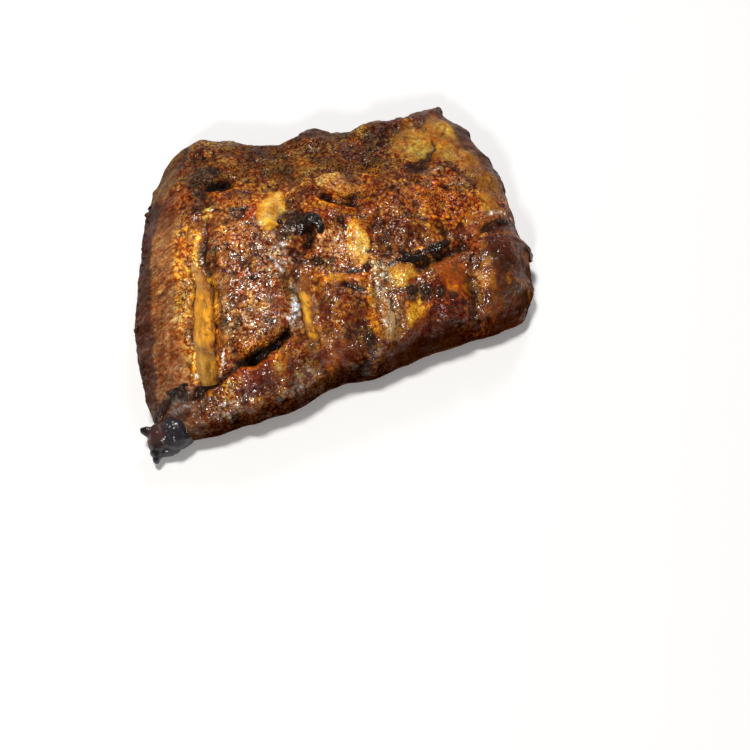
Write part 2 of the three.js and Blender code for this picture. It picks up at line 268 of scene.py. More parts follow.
# Grooves, tears and ridges: path, half width, and how far it stands up or sinks.
grooves = dict(
    flapTear=([(-34, -45), (-29, -43), (-25, -41), (-21, -38.4)], 2.5, -4.4),
    flapSeam=([(-56, -53), (-47, -50), (-40, -47), (-34, -45)], 1.6, -1.8),
    flapLip=([(-43, -40.6), (-37, -40), (-29, -37.4), (-19.4, -31.6)], 3.2, 1.5),
    middleTear=([(-1, -53), (7, -48), (12, -50)], 2.8, -2.4),
    rightTear=([(18, -50), (30, -46.5), (40, -43.5)], 3, -2.2),
    blackRidge=(ridgePath, 2.2, 1.6),
    ridgeFoot=([(31, -19.6), (36, -16.6), (41, -14), (49, -10)], 2.0, -1.4),
    endCrease=([(51, -6), (51, -20), (49, -37)], 3, -0.7),
    lobeCrease=([(54, -7), (60, -4), (73, 1.5)], 2.0, -1.3),
    fatStreak=([(34, 25), (41, 29), (46, 35), (48.2, 40)], 2.6, -0.9),
    charPit=([(-40.5, 31.6), (-35.5, 32.6)], 2.8, -4.5),
    hookPit=([(-7.4, -3), (-6, 1.5)], 2.4, -3.2),
    crack=([(3, -22.5), (9, -25.5)], 1.4, -1.2),
    chunkFoot=([(1, 16), (6, 12), (11, 11)], 1.6, -1.6),
    backLip=([(20, 54), (34, 55), (52, 64)], 4, 2),
)


def ovalDistance(x, y, at, size, turn):  # 1 at the edge of the oval
    a = math.radians(turn)
    dx, dy = x - at[0], y - at[1]
    along, across = dx * math.cos(a) + dy * math.sin(a), dy * math.cos(a) - dx * math.sin(a)
    return np.hypot(along / size[0], across / size[1])


def pathDistance(path, x, y):
    nearest = np.full_like(x, 1e9)
    for (ax, ay), (bx, by) in zip(path, path[1:]):
        run = (bx - ax) ** 2 + (by - ay) ** 2
        share = clamp01(((x - ax) * (bx - ax) + (y - ay) * (by - ay)) / run)
        nearest = np.minimum(nearest, np.hypot(x - mix(ax, bx, share), y - mix(ay, by, share)))
    return nearest


def ribX(rib, y):
    return np.interp(y, *zip(*rib["bend"]))


def bareness(rib, y, fade):
    if not rib["bare"]:
        return 0 * y
    start, end = rib["bare"]
    return smooth((y - start) / fade + 1) * smooth((end - y) / fade + 1)


def ribShare(rib, x, y):  # 1 over a bare stretch of the rib, 0 away from it
    return bareness(rib, y, valley["fade"]) * bell(x - ribX(rib, y), valley["halfWidth"])


def nearBareRib(x, y):
    return np.max([ribShare(r, x, y) for r in ribs], axis=0)


def boneFilm(x, y):  # meat and skin left on the bare stretches
    film = 0 * x
    ragged = 0.35 * layered(x * 1.5, y * 0.8, 2.6, 3, 140)
    edge = 0.9 * layered(x, y, 3, 3, 145)
    for r in ribs:
        if r["bare"]:
            at, thick = zip(*r["film"])
            flush = r["flush"] * smooth((np.abs(x - ribX(r, y)) - r["half"] + edge) / 1.4)
            film = film + ribShare(r, x, y) * (np.interp(y, at, thick) + ragged + flush)
    return film


def relief(x, y):
    h = 0 * x
    for r in ribs:
        floor = mix(valley["covered"], valley["bare"], bareness(r, y, valley["fade"]))
        h = h - floor * np.exp(-(((x - ribX(r, y)) / valley["halfWidth"]) ** 4))
    for at, size, high, turn in mounds.values():
        h = h + high * smooth(1.25 - 0.95 * ovalDistance(x, y, at, size, turn))
    for path, width, high in grooves.values():
        h = h + high * bell(pathDistance(path, x, y), width)
    lumps = 0.9 * noise(x / 11, y / 11, 1) + 0.7 * noise(x / 5.5, y / 5.5, 2)
    return h + lumps * (1 - 0.8 * nearBareRib(x, y))


# What the surface is made of, place by place.
hues = dict(  # screen colours, 0 to 255
    flesh=(124, 78, 50), rosy=(146, 92, 62), pinkTan=(168, 114, 82), pink=(190, 134, 98),
    ember=(156, 92, 34), rust=(128, 66, 26), brick=(108, 48, 20), garnet=(96, 34, 12), brown=(112, 66, 38),
    umber=(70, 38, 24), lobe=(72, 34, 22), plum=(84, 50, 44), crust=(102, 66, 38), darkCrust=(62, 40, 26),
    olive=(118, 84, 42), rimOlive=(126, 96, 58), cutFace=(134, 84, 58), cutUpper=(102, 56, 40),
    cutPale=(173, 130, 92), cutDark=(64, 34, 28), amber=(180, 110, 24), gold=(200, 140, 44),
    bright=(222, 164, 52), cream=(222, 180, 112), tan=(178, 128, 66), fat=(140, 98, 42),
    # The two palest hues stand for light: a painted sheen and painted glints.
    fatCream=(172, 134, 70), grey=(178, 144, 100), paintedSheen=(206, 186, 170), paintedGlint=(236, 226, 220),
    scarlet=(176, 82, 40), shade=(40, 18, 9), char=(42, 28, 21), coal=(20, 15, 13),
)


def oval(x, y, wide, long, turn=0, ragged=1.5, strong=1.0):
    return dict(at=(x, y), size=(wide, long), turn=turn, ragged=ragged, strong=strong)


def streak(path, width, ragged=1.0, strong=1.0):
    return dict(path=path, width=width, ragged=ragged, strong=strong)


def patch(outline, ragged=1.0, strong=1.0, soft=1.2):
    return dict(outline=outline, ragged=ragged, strong=strong, soft=soft)


palePatch = [
    (-14.6, 24.8), (-13.4, 19.7), (-14.4, 12.7), (-17.6, 5.9), (-21.6, 2.8), (-24.6, 5.8), (-25.8, 11),
    (-22, 17), (-18.4, 23.4),
]
creamPatch = [(7.8, 2.6), (11.6, 3.2), (14.6, -5.6), (14.1, -11.7), (9.6, -17.5), (6.4, -13.8), (6, -4.1)]
redDome = [(36.5, -19), (40, -15), (45.6, -12.5), (49.2, -18), (48.6, -28), (44, -31), (38.5, -29)]
fatOutline = [
    (32, 47), (44, 58), (56, 70), (62, 58), (68, 38), (71, 18), (66, 3), (60, 3), (60, 18), (54, 28),
    (46, 33), (36, 31), (31, 36),
]

# Stains, with painted highlights and painted shade among them, in the order they lie on each other: hue,
# then the places where it shows. A bare row is an oval: its middle, its half sizes, and then its turn, how
# ragged it is and how strong.
stainsAndShading = [
    ("crust", [(-8, 50, 62, 19, 4, 5, 0.95), (-34, 38, 16, 13, 0, 4, 0.7), (14, 36, 26, 11, 0, 4, 0.6)]),
    ("olive", [
        (-5, 36, 14, 7, 0, 4, 0.5), (-24, 27, 9, 6, 20, 4, 0.6), (27, 31, 9, 5, 0, 3, 0.6),
        (20, 52, 8, 3, 10, 2, 0.5),
    ]),
    ("rimOlive", [(-35, 57, 13, 4.5, 8, 3, 0.95), (23, 52, 5, 2, 30, 1.5, 0.8)]),
    ("darkCrust", [
        (0, 58, 30, 6, 4, 3, 0.6), (22, 43, 12, 4, 20, 3, 0.6), (-14, 33, 12, 4, 0, 3, 0.5),
        (-44, 21, 5, 3, 0, 2, 0.6), (27, 30, 3, 3, 0, 2, 0.5), (-22, 49, 9, 5, 0, 3, 0.4),
    ]),
    ("rosy", [(-30, -24, 14, 20, 4, 3, 0.95), (62, 2, 9, 8, 0, 3, 0.5)]),
    # Pink tan flesh; along the front it also stands for the paler glinting tops, a painted highlight.
    ("pinkTan", [
        (-40, -58, 14, 5, 8, 3, 0.6), (-4, -52, 18, 4, 4, 3, 0.7), (-31, -1, 12, 9, 0, 3, 0.9),
        (1, -6, 7, 9, 20, 3, 0.9), (-20, -10, 6, 9, 0, 3, 0.8), (-39, -32, 6, 8, 0, 3, 0.5),
    ]),
    # Brown crust; the ovals at the pale chunk's foot are also its painted shadow.
    ("brown", [
        (27, 12, 12, 12, 0, 4, 0.9), (8, 13, 9, 5, 0, 3, 0.8), (27, 4, 10, 15, 0, 4, 0.8),
        (0, -33, 9, 11, 0, 3, 0.95), (5, 12, 10, 4, -20, 2, 0.8), (36, 23, 12, 5, 20, 3, 0.6),
    ]),
    ("ember", [
        (42, 7, 12, 11, -20, 4, 0.85), (-1, 11, 7, 6, 0, 3, 0.9), (46, 20, 5, 5, 0, 2, 0.7),
        (-50, 6, 5, 7, 0, 2, 0.3), (17, 15, 4, 7, 0, 2, 0.7), (-36, 28, 7, 5, 0, 3, 0.4),
    ]),
    ("rust", [
        (54, 5, 6, 6, 0, 2, 0.9), patch(redDome, 1.5, 0.95, 2), (16, 2, 2.5, 9, 0, 2, 0.8),
        (-33, -14, 4, 3, 0, 1.5, 0.8), (0, 7, 5, 4, 0, 2, 0.5), (-26, 14, 4, 7, -30, 2, 0.7),
        (56, -12, 5, 5, 0, 2, 0.5),
    ]),
    ("brick", [
        (42, -34, 9, 5, -5, 3, 0.8), (38, -29, 6, 4, 0, 2, 0.8), (44, -22, 3, 7, -10, 2, 0.6),
        (55, -5, 7, 4, 10, 2, 0.6), (-33, -51, 12, 5.5, 8, 2, 0.95), (-4, -47, 10, 4, 0, 2, 0.7),
        (28, -44, 16, 4, 10, 2, 0.9),
    ]),
    ("lobe", [(66, -22, 13, 22, -8, 3), (60, -35, 11, 7, -10, 3, 0.9)]),
    ("plum", [(72, -14, 6, 14, -5, 3, 0.7), (66, -30, 8, 7, 0, 3, 0.6)]),
    ("rosy", [(55, -23, 3, 8, 5, 2, 0.4)]),
    ("darkCrust", [
        (61, -17, 3, 2, 20, 1.5, 0.7), (64, -21, 2.4, 3, 0, 1.5, 0.6), (68, -29, 5, 3, 0, 2, 0.5),
        (59, -33, 5, 2, -20, 2, 0.5),
    ]),
    ("fat", [patch(fatOutline, 3, 0.95, 2.5)]),
    ("fatCream", [
        patch([(33.3, 41.7), (38.1, 45.5), (47, 43.7), (47.4, 38), (41.3, 31.6), (33.8, 30.2)], 1.4, 0.85),
        patch([(50, 41.5), (56.4, 39.8), (58.5, 31), (53.8, 28.5), (50, 33)], 1.4, 0.75),
        patch([(55.2, 30.5), (60.9, 28.2), (64.3, 18.3), (65.3, 7.4), (62.2, 4.8), (59.8, 13.7),
            (55.9, 21.5)], 1.4, 0.5),
        (57, 50, 2.5, 6, 10, 2, 0.6),
    ]),
    ("ember", [
        (49, 48, 2, 7, 10, 2, 0.6), (54, 41, 1.4, 6, -30, 1.5, 0.6), (36, 43, 3, 2, 0, 1.5, 0.5),
        (60, 32, 1.6, 5, 20, 1.5, 0.5), (66, 22, 2, 8, 8, 2, 0.6), (58, 61, 1.6, 5, 10, 1.5, 0.5),
    ]),
    ("brown", [
        (69, 24, 4, 18, 8, 2, 0.6), (62.5, 17, 5, 13, 10, 3, 0.55), (53, 58, 4, 5, 0, 2, 0.4),
        (60, 60, 4, 9, 20, 2, 0.5), (64, 38, 3.5, 10, 12, 2, 0.5),
    ]),
    ("brown", [
        streak([(37.3, 46.4), (38, 40), (35.7, 37.6), (32.7, 35.8)], 0.5, 1, 0.7),
        streak([(42.1, 43.2), (39, 40)], 0.4, 1, 0.6),
        streak([(59.4, 39.8), (56.7, 33.6), (57.9, 28.8)], 0.6, 1.2, 0.7),
        streak([(55.8, 51.8), (52.6, 45.5), (49.4, 44)], 0.5, 1.2, 0.7),
    ]),
    ("plum", [
        streak([(63.8, 38.8), (66, 31), (67, 24)], 1, 1.4, 0.6),
        patch([(37, 60), (47.7, 67.2), (57, 76), (57.6, 65), (51.6, 60), (47.4, 53.5), (43.4, 50),
            (42.3, 54.9), (40, 57.9)], 1, 0.95, 1.4),
        streak([(36.8, 58.4), (26.8, 51), (15.4, 38.9)], 2.6, 1.6, 0.8),
        streak([(57, 66), (60.5, 57), (66, 46.8), (70, 33.6), (73, 23), (75, 13.4), (76, 5)], 3, 1.6, 0.85),
    ]),
    ("amber", [
        streak([(12, -17), (11.4, -22), (11.6, -28), (10.6, -34.5), (10.5, -43)], 2, 0.9),
        streak([(-3, -19.5), (6, -20), (13, -20.5)], 2.4, 1.5, 0.9),
        patch([(22.8, -32), (28, -30.8), (32.6, -33.6), (28.5, -37.5), (23, -41)], 1.5, 0.95),
        (24, -21, 4, 3, 0, 2, 0.6), (10, 5, 4, 5, 0, 2, 0.7), (-26, -49.5, 4, 4.5, 0, 2, 0.8),
        (-43, -53, 3, 4, 0, 1.5, 0.6), (-12.5, -50, 3.5, 3, 0, 1.5, 0.8), (2, 12.5, 4, 2, -20, 1.5, 0.6),
        (46, 5, 3, 4, 0, 1.5, 0.5), (-13.5, 19, 1.5, 7, -10, 1, 0.7), (-33, 29, 3, 3, 0, 1.5, 0.7),
        (-20.5, -10, 2, 5, 0, 1.5, 0.6), streak([(-50, 13), (-49, -8), (-51.5, -20)], 2.6, 1.4, 0.3),
        (20, 25, 4, 3, 0, 2, 0.8), (50, -28, 2.4, 7, 0, 1.5, 0.5), (-16, -25, 2, 8, 0, 1.2, 0.5),
    ]),
    # Grey membrane over the third rib; the other grey places are painted sheen where the meat glints.
    ("grey", [
        streak([(16.6, -17.5), (15.8, -25), (15.2, -32.4), (17, -41)], 3.2, 1.2, 0.95),
        (-16.5, -25, 1.6, 7, 0, 1, 0.7), (-19.2, -1.6, 4.5, 3, -20, 1.5, 0.8),
        (-9.6, -30, 1.1, 7, 0, 0.8, 0.7), (52, -26, 1.6, 6, 0, 1, 0.7), (-39, -31.5, 4, 3, 20, 1.5, 0.6),
        (67, 3.4, 5, 1.2, 8, 0.8, 0.7),
    ]),
    # Painted sheen beside the first rib, and grey stripes beside the third.
    ("grey", [
        streak([(-41.6, -14), (-41, -25), (-42, -36)], 1, 1.2, 0.55),
        streak([(20.4, -21), (19.6, -27)], 0.5, 0.6, 0.6),
    ]),
    ("shade", [
        streak([(-43.2, -13), (-42.6, -24), (-43.4, -34)], 0.5, 1.2, 0.6),
        streak([(13, -23), (12.8, -33)], 0.5, 0.8, 0.7), streak([(18.4, -26), (18.2, -36)], 0.5, 0.8, 0.6),
        (17.6, -37, 1.2, 2.4, 0, 0.8, 0.7),
    ]),
    # Painted sheen where the wet meat glints.
    ("paintedSheen", [
        (13, -47.5, 4, 3, 0, 1.5, 0.5), (-1, -55, 9, 1.6, 8, 1.5, 0.5), (-20, -56, 7, 1.4, 8, 1.5, 0.45),
        (-44, -58.5, 6, 2.6, 10, 2, 0.6), (-19, -8, 4, 5, -10, 2, 0.6), (-15.8, -27, 1.6, 8, 0, 0.9),
        (-18.6, -34.5, 1.6, 3, 0, 0.8, 0.7), (-19.5, -1, 3, 1.6, -20, 1, 0.6),
        (-20.2, -12, 1.2, 4, 10, 0.8, 0.7), streak([(15.8, -23), (15.4, -28), (15, -33)], 1.6, 0.9, 0.6),
        (-9.4, -29, 0.7, 5, 0, 0.6, 0.7),
    ]),
    ("gold", [
        patch(creamPatch, 1.4, 0.95), patch(palePatch, 1.2, 0.95), (35.5, -37.4, 2.4, 1, 20, 0.8, 0.8),
        (27, -32.6, 3, 1.2, 10, 1, 0.8),
        patch([(24, -32.6), (28, -31.4), (31, -33.6), (27.5, -36.5), (24, -39)], 1.2, 0.95),
        streak([(11.4, -22), (11.2, -33), (10.6, -39)], 1.1, 0.7, 0.7), (0.7, -20, 2.6, 1.6, 0, 1, 0.9),
        streak([(-14, 20.2), (-9.4, 23), (-5, 25.2)], 0.9, 0.6, 0.8), (-25.5, -49, 1.6, 4, 0, 1, 0.8),
        (-43.4, -52.5, 1.4, 3.4, 10, 1, 0.7), (-12.3, -50.4, 1.6, 2.4, 0, 1, 0.8),
        streak([(31, -18), (27, -22)], 1, 0.8, 0.7), streak([(23.8, -19), (23.6, -26)], 0.7, 0.6, 0.8),
        streak([(27.2, -19), (26.4, -24.6)], 0.6, 0.6, 0.8),
        streak([(20.8, -19), (20.6, -25)], 0.4, 0.6, 0.7),
    ]),
    ("tan", [
        patch([(19, -18.5), (29.5, -18), (30, -22), (25, -27), (19, -26.5)], 1.4, 0.9),
        streak([(-51, 13), (-50.4, -8), (-51.5, -16)], 2.4, 1.4, 0.6),
        streak([(-51.3, -13), (-52.4, -24), (-53.2, -38), (-54.6, -48.4)], 1.3, 1.2, 0.85),
        (-46.4, -9, 1.8, 4.5, 0, 1, 0.6),
    ]),
    ("amber", [streak([(-43.4, -14), (-44.6, -28), (-45.6, -40), (-47, -48)], 0.7, 0.6, 0.8)]),
    ("gold", [streak([(-44.6, -13), (-45, -21), (-45.8, -29)], 1.3, 1.2, 0.85)]),
    ("bright", [
        streak([(-47.3, 9), (-49, -1.9), (-50.1, -8.9), (-50.2, -14)], 1.3, 0.8, 0.9),
        (9.5, -0.4, 1.8, 2.4, 0, 0.8, 0.9), (7.5, -5, 1.2, 3, 0, 0.8, 0.9),
        (-21.4, 7.9, 2, 1.8, 0, 0.8, 0.9), (28.8, -31.8, 1.2, 3, 10, 0.8, 0.8),
        (27.4, -33.4, 2.6, 1.6, 10, 1, 0.7), (24.6, -36.6, 1.4, 2, 0, 0.8, 0.6),
        (-32.6, 29.6, 1.6, 1.6, 0, 0.8, 0.5),
    ]),
    ("cream", [
        streak([(-47.6, 8), (-49, -1.9), (-50, -8)], 0.9, 0.8, 0.8),
        patch([(10.2, 1), (12, 0.6), (14, -6), (13.4, -11.5), (10, -16), (8.6, -12), (9.4, -5)], 1, 0.95),
        patch([(-14.8, 24), (-14.6, 14), (-17.4, 8.4), (-21, 8), (-23.4, 10.6), (-20.5, 16.5),
            (-17.6, 22.6)], 1, 0.85),
        (-23.6, 8, 1.6, 4, -15, 0.8, 0.8), (-42.8, 16.6, 2.4, 3.2, 20, 1, 0.85),
        (-25.6, -49.4, 0.8, 3.2, 5, 0.5, 0.9), (28.6, -33.4, 1.8, 1.1, 10, 0.8, 0.6),
        streak([(24.8, -34.4), (24.4, -38)], 0.6, 0.6, 0.5),
        streak([(22.4, -19), (22.6, -25.5)], 0.7, 0.5, 0.5),
        streak([(25.4, -18.6), (25, -24)], 0.6, 0.5, 0.4),
    ]),
    ("pink", [
        (-30, 5.4, 3.2, 1.4, 5, 1, 0.9), (2.6, -6, 3, 4, 0, 1.5, 0.5), (-26, -4, 5, 3, 0, 2, 0.5),
        (-29, -26, 4, 6, 10, 2, 0.5),
    ]),
    ("scarlet", [
        (-26.6, 13, 1.8, 5, -30, 0.9, 0.85), (-33.5, -14.5, 2.4, 1.6, 0, 0.9, 0.8),
        (0.5, 7, 2, 3, 0, 1, 0.5),
    ]),
    ("garnet", [
        (-31.5, -53.4, 6, 3.6, 8, 2, 0.85), (39, -36, 9, 3.6, 10, 2, 0.8), (14, -52, 8, 2, 8, 2, 0.5),
    ]),
    # Painted glints: thin white lines and spots of light on the wet meat and bones.
    ("paintedGlint", [
        streak([(62.1, 1.4), (67.8, 3.6), (72, 3)], 0.6, 0.6, 0.7),
        streak([(-43.5, -41.4), (-44.8, -45.5), (-46.4, -48)], 0.5, 0.3),
        streak([(-22, 0), (-19, -1.5), (-16.3, -3.3)], 0.5, 0.6), (-54.4, -46.9, 0.5, 1, 0, 0.3),
        streak([(-21.9, -8.8), (-20, -13), (-18.6, -15.2)], 0.5, 0.6), (-15.7, -49.7, 1.4, 0.8, 0, 0.6),
        streak([(-46.8, -57.6), (-44, -60.2), (-48.6, -60.7)], 0.5, 0.6, 0.8),
        streak([(-15.8, -22), (-16.4, -28), (-17.4, -33)], 0.9, 0.6, 0.9),
        streak([(17, -20), (16, -27)], 0.4, 0.6, 0.7),
        streak([(14.4, -22), (14.2, -30), (15, -39)], 0.4, 0.6, 0.8),
        streak([(17.2, -30), (16.6, -40)], 0.35, 0.6, 0.7),
        streak([(-43.8, -50.1), (-42.8, -54.7)], 0.4, 0.4, 0.7),
    ]),
    ("plum", [
        patch([(-69, -57), (-67, -51.4), (-62, -49.4), (-57, -50.6), (-55.6, -54), (-59, -58),
            (-65, -60)], 1, 0.85, 1.5),
    ]),
    # Painted sheen on the fold of the charred corner.
    ("paintedSheen", [
        (-62, -52, 3.4, 1.2, 15, 1.2, 0.5), (-60, -55.4, 3, 1.2, -20, 1.2, 0.45),
        (-65, -54.6, 1.6, 1, 0, 1, 0.4),
    ]),
    # Umber marks; the thin oval along the pale chunk's foot is its painted shadow.
    ("umber", [
        patch([(35.8, 30.3), (41.7, 33.6), (45.6, 31), (43, 24.7), (36.9, 21.9), (34.1, 23.9)], 2, 0.85, 2),
        streak([(51.9, 28.7), (55.2, 21.7), (58.6, 15.5)], 1.4, 1.2, 0.8),
        patch([(-34.8, 16), (-27.6, 14.8), (-31.8, 8.4)], 1, 0.9), (-12.8, 8, 4, 5, 0, 1.5, 0.85),
        streak([(-15, -5.5), (-13.6, -13), (-13.8, -18)], 1.3, 1, 0.8),
        (-5.6, -12.5, 3.4, 2.8, -20, 1.2, 0.75), (8, 12, 6, 1.4, -24, 0.8, 0.9),
        (-28, -7, 3, 1, 20, 1, 0.6), (3, -48, 8, 3, 5, 1.5, 0.7), (-36, 24, 5, 3, 0, 2, 0.5),
        (-53.8, -32, 1.6, 6, 0, 1, 0.7), (-47.4, -40.6, 3.4, 1.3, -14, 0.7, 0.8),
        (62, -22, 3, 3, 0, 1.2, 0.6), (63.5, -18, 2, 2, 0, 1, 0.6), (-3, -34, 3, 6, 0, 2, 0.4),
    ]),
    # Char; the streak and patch in the tear under the flap are painted shadow.
    ("char", [
        streak([(-39.4, 40.4), (-41.6, 40.4), (-44.6, 38.3), (-46.6, 33), (-45, 26.5)], 2.8, 1.4, 0.8),
        (-40.6, 37, 4, 4.4, 20, 1.5, 0.75), streak([(-40, -46.2), (-34.8, -45), (-29.7, -43.2)], 0.9, 0.5),
        patch([(-31, -43.8), (-25.7, -40.6), (-19, -36), (-20.2, -39.8), (-25.6, -43)], 0.5, 1, 0.6),
        (26.4, -28.2, 2.4, 2, 0, 0.8, 0.95), (31.3, -28.6, 2.6, 2.2, 0, 0.8, 0.95),
        (36.6, -29.2, 2, 1.6, 0, 0.8, 0.85), (41.4, -30.3, 1.4, 1, 0, 0.6, 0.8),
        (45.4, -33.4, 1.2, 1, 0, 0.6, 0.7), streak(ridgePath, 1.2), streak(stripPath, 0.6, 0.4),
        (8.5, -42.6, 2, 2.8, 0, 1, 0.9), (2, -49, 4, 1.6, 6, 1, 0.8),
        streak([(30, -42), (37, -40.5), (44, -38.6)], 0.9, 0.8, 0.6),
        streak([(47.6, 43), (48.2, 38.4), (44, 34)], 0.6, 1.4, 0.8),
        streak([(46.4, 35.6), (40.4, 29), (35.6, 27.6)], 1.2, 2, 0.75), (48.1, 26.7, 2, 1.1, 0, 0.6, 0.8),
        streak([(-72, -56), (-68.2, -51.4), (-63.9, -50.2), (-59.5, -51.4)], 1.8, 1.2, 0.9),
        patch([(-56.6, -50.6), (-48.2, -49.2), (-50, -52.4), (-55, -55.5)], 1, 1, 0.8),
        (-45.4, -1, 2.6, 1.4, -16, 0.8, 0.85), (-41.6, -3.2, 2.4, 2, -30, 0.8, 0.7),
        (-44.9, -9.2, 1.3, 1, 0, 0.5, 0.8), (-13.6, 3, 3.6, 3, 0, 1.4, 0.75), (-9, 8, 2.2, 2.4, 0, 1, 0.7),
        streak([(58.5, -3.4), (64.9, -0.4), (73, 1.4)], 0.6, 1, 0.9),
        streak([(4.5, -18.2), (8.4, -18.3), (12, -17.2)], 0.8, 0.5, 0.9),
        (11.8, -16.4, 1.5, 1.5, 0, 0.6, 0.85), streak([(3.4, -22.8), (8, -26)], 0.8, 0.5, 0.85),
        (5.6, 3.9, 1.4, 1.4, 0, 0.7, 0.8), (13.2, -10.4, 0.8, 0.8, 0, 0.3, 0.8),
        streak([(-34.4, 15.8), (-28, 14.8)], 0.8, 0.5, 0.8), (-6.6, -10.8, 1.4, 1.2, 0, 0.6, 0.7),
        (24.6, 35, 2, 2.6, 0, 1, 0.6), (17, 44, 3, 1.4, 0, 1, 0.5),
    ]),
    # Coal on the char; in the pits and in the tear under the flap it is painted shade.
    ("coal", [
        patch([(-41.6, 33.6), (-37, 34), (-34, 32), (-37, 30.4), (-42, 30)], 0.6, 1, 0.8),
        (-5.8, -0.5, 1.6, 2.6, 10, 0.5, 0.6), (-41.4, -30.6, 1, 1.1, 0, 0.4, 0.9),
        (-36.8, -32.3, 1, 1.5, 10, 0.4, 0.9), (-29.6, -17.1, 1.9, 1, -20, 0.5, 0.9),
        (31.3, -28.6, 1.6, 1.5, 0, 0.4, 0.8), (-51.5, -51.6, 2.6, 1.3, 6, 0.7, 0.9),
        patch([(-29, -43.4), (-23, -40), (-20, -38.6), (-24.6, -42.3)], 0.4, 0.95, 0.6),
    ]),
]
# Where the meat is wet.
wetPlaces = [
    streak([(-42, -11), (-41.4, -24), (-42, -35)], 3, 1.5), (-61.5, -54, 7, 5),
    (-30, -22, 14, 24, 0, 4, 0.85), (-18, -4, 6, 14, 0, 3), (-16.5, -25, 2.5, 12),
    (-28, 0, 14, 10, 0, 3, 0.85), (-9.6, -30, 1.6, 12, 0, 1), (16, -30, 6, 16, 0, 3),
    (14, -45, 12, 6, 0, 3), (53, -26, 3, 9, 0, 2.5), (-38, -57, 24, 6, 8, 3), (5, -18, 30, 26, 0, 6, 0.6),
    (-45, -45, 2, 5, 0, 1), (-15, -50, 8, 6, 0, 3), (30, 6, 24, 20, 0, 6, 0.4),
    (60, -25, 12, 18, 0, 4, 0.35), (3, -4, 8, 12, 0, 2, 0.8), (22, -46, 22, 4, 8, 3, 0.7),
]
# Where the surface is smooth instead of grainy, and how much.
smoothPlaces = [
    patch(redDome, 1, 0.85, 2), (66, -24, 13, 22, -8, 3, 0.75), (-31, -50, 9, 4, 4, 2, 0.5),
    patch(creamPatch, 1, 0.75), patch(palePatch, 1, 0.9), patch(fatOutline, 3, 0.8, 2.5),
    (27, -35, 5, 5, 0, 2, 0.5), (24.4, -22, 6, 5, 0, 1.5, 0.7), (-4, -45, 7, 5, 0, 2, 0.6),
    (2, -20, 6, 2, 0, 1.5, 0.7), (57, -2, 8, 4, 10, 2, 0.6), (28, -44, 16, 4, 10, 2, 0.6),
]


def insideDepth(outline, x, y):  # distance to the outline, below 0 outside it
    within = np.zeros(len(x), bool)
    closed = outline + outline[:1]
    for (ax, ay), (bx, by) in zip(closed, closed[1:]):
        crosses = (ay > y) != (by > y)
        within ^= crosses & (x < ax + (bx - ax) * (y - ay) / (by - ay if by != ay else 1))
    return pathDistance(closed, x, y) * np.where(within, 1, -1)


def coverage(place, x, y, k):
    place = oval(*place) if isinstance(place, tuple) else place
    edgePitch = 4.2
    wx = x + place["ragged"] * layered(x, y, edgePitch, 3, 20 + k % 17)
    wy = y + place["ragged"] * layered(x, y, edgePitch, 3, 50 + k % 13)
    if "path" in place:
        inside = smooth(1.5 - pathDistance(place["path"], wx, wy) / place["width"])
    elif "outline" in place:
        inside = smooth(0.5 + insideDepth(place["outline"], wx, wy) / place["soft"])
    else:
        depth = (1 - ovalDistance(wx, wy, place["at"], place["size"], place["turn"])) * min(place["size"])
        inside = smooth(depth / 1.8 + 0.5)
    return inside * place["strong"]


def oneCoverage(at, size, x, y):
    return coverage((*at, *size, 0, 3), x, y, 0)


def allCoverage(places, x, y):
    return np.max([coverage(p, x, y, k) for k, p in enumerate(places)], axis=0)


def tinted(colour, tone, share):
    return colour + (np.array(tone, float) - colour) * share[:, None]


# Lays a hue over the colour: a stain, or a painted shade or highlight.
def layHue(colour, hue, share):
    return tinted(colour, hues[hue], clamp01(share))


# The cut left end: how far in it reaches, and where its upper, redder part starts.
cutFace = dict(reach=0.124, fade=0.02, upperFrom=0.57, upperFade=0.12)
# How wide the dark band along the left edge is, from front to back.
rimBand = dict(
    at=(0, 0.12, 0.21, 0.29, 0.41, 0.5, 0.6, 0.71, 0.85, 1),
    width=(0.03, 0.03, 0.036, 0.058, 0.043, 0.036, 0.044, 0.066, 0.045, 0.03),
)
# How strong the amber film, the drops and the specks are, and the painted light and shade on the grains, in
# hollows and on the front.
browningAndShade = dict(film=0.42, drops=0.4, specks=0.85, deep=0.75, light=0.3, hollow=0.4, frontShade=0.12)


def paintSides(x, y, s, t):  # flesh, the front side, and the cut left end with its dark edge
    colour = np.tile(np.array(hues["flesh"], float), (len(x), 1))
    front = smooth((0.095 - t) / 0.04)
    colour = layHue(colour, "ember", front * 0.35)
    colour = layHue(colour, "brick", front * 0.7 * smooth(0.5 + 1.5 * layered(x, y, 9, 2, 97)))
    cut = smooth((cutFace["reach"] + 0.01 * layered(x, y, 9, 2, 91) - s) / cutFace["fade"])
    upper = smooth((t - cutFace["upperFrom"]) / cutFace["upperFade"])
    colour = layHue(colour, "cutFace", cut)
    colour = layHue(colour, "cutUpper", cut * upper)
    colour = layHue(colour, "rust", cut * upper * smooth(layered(x, y, 9, 3, 96) * 2) * 0.5)
    blotch = 0.4 + 0.6 * smooth(0.75 + 1.4 * layered(x, y, 6, 3, 93))
    besideBone = smooth((0.158 - s) / 0.015) * smooth((s - 0.098) / 0.02)
    colour = layHue(colour, "cutPale", besideBone * (1 - upper) * smooth((t - 0.1) / 0.06) * blotch)
    band = np.interp(t, rimBand["at"], rimBand["width"]) + 0.012 * layered(x, y, 5, 3, 92)
    return layHue(colour, "cutDark", smooth((band - s) / 0.012 + 0.5) * 0.92), front, cut


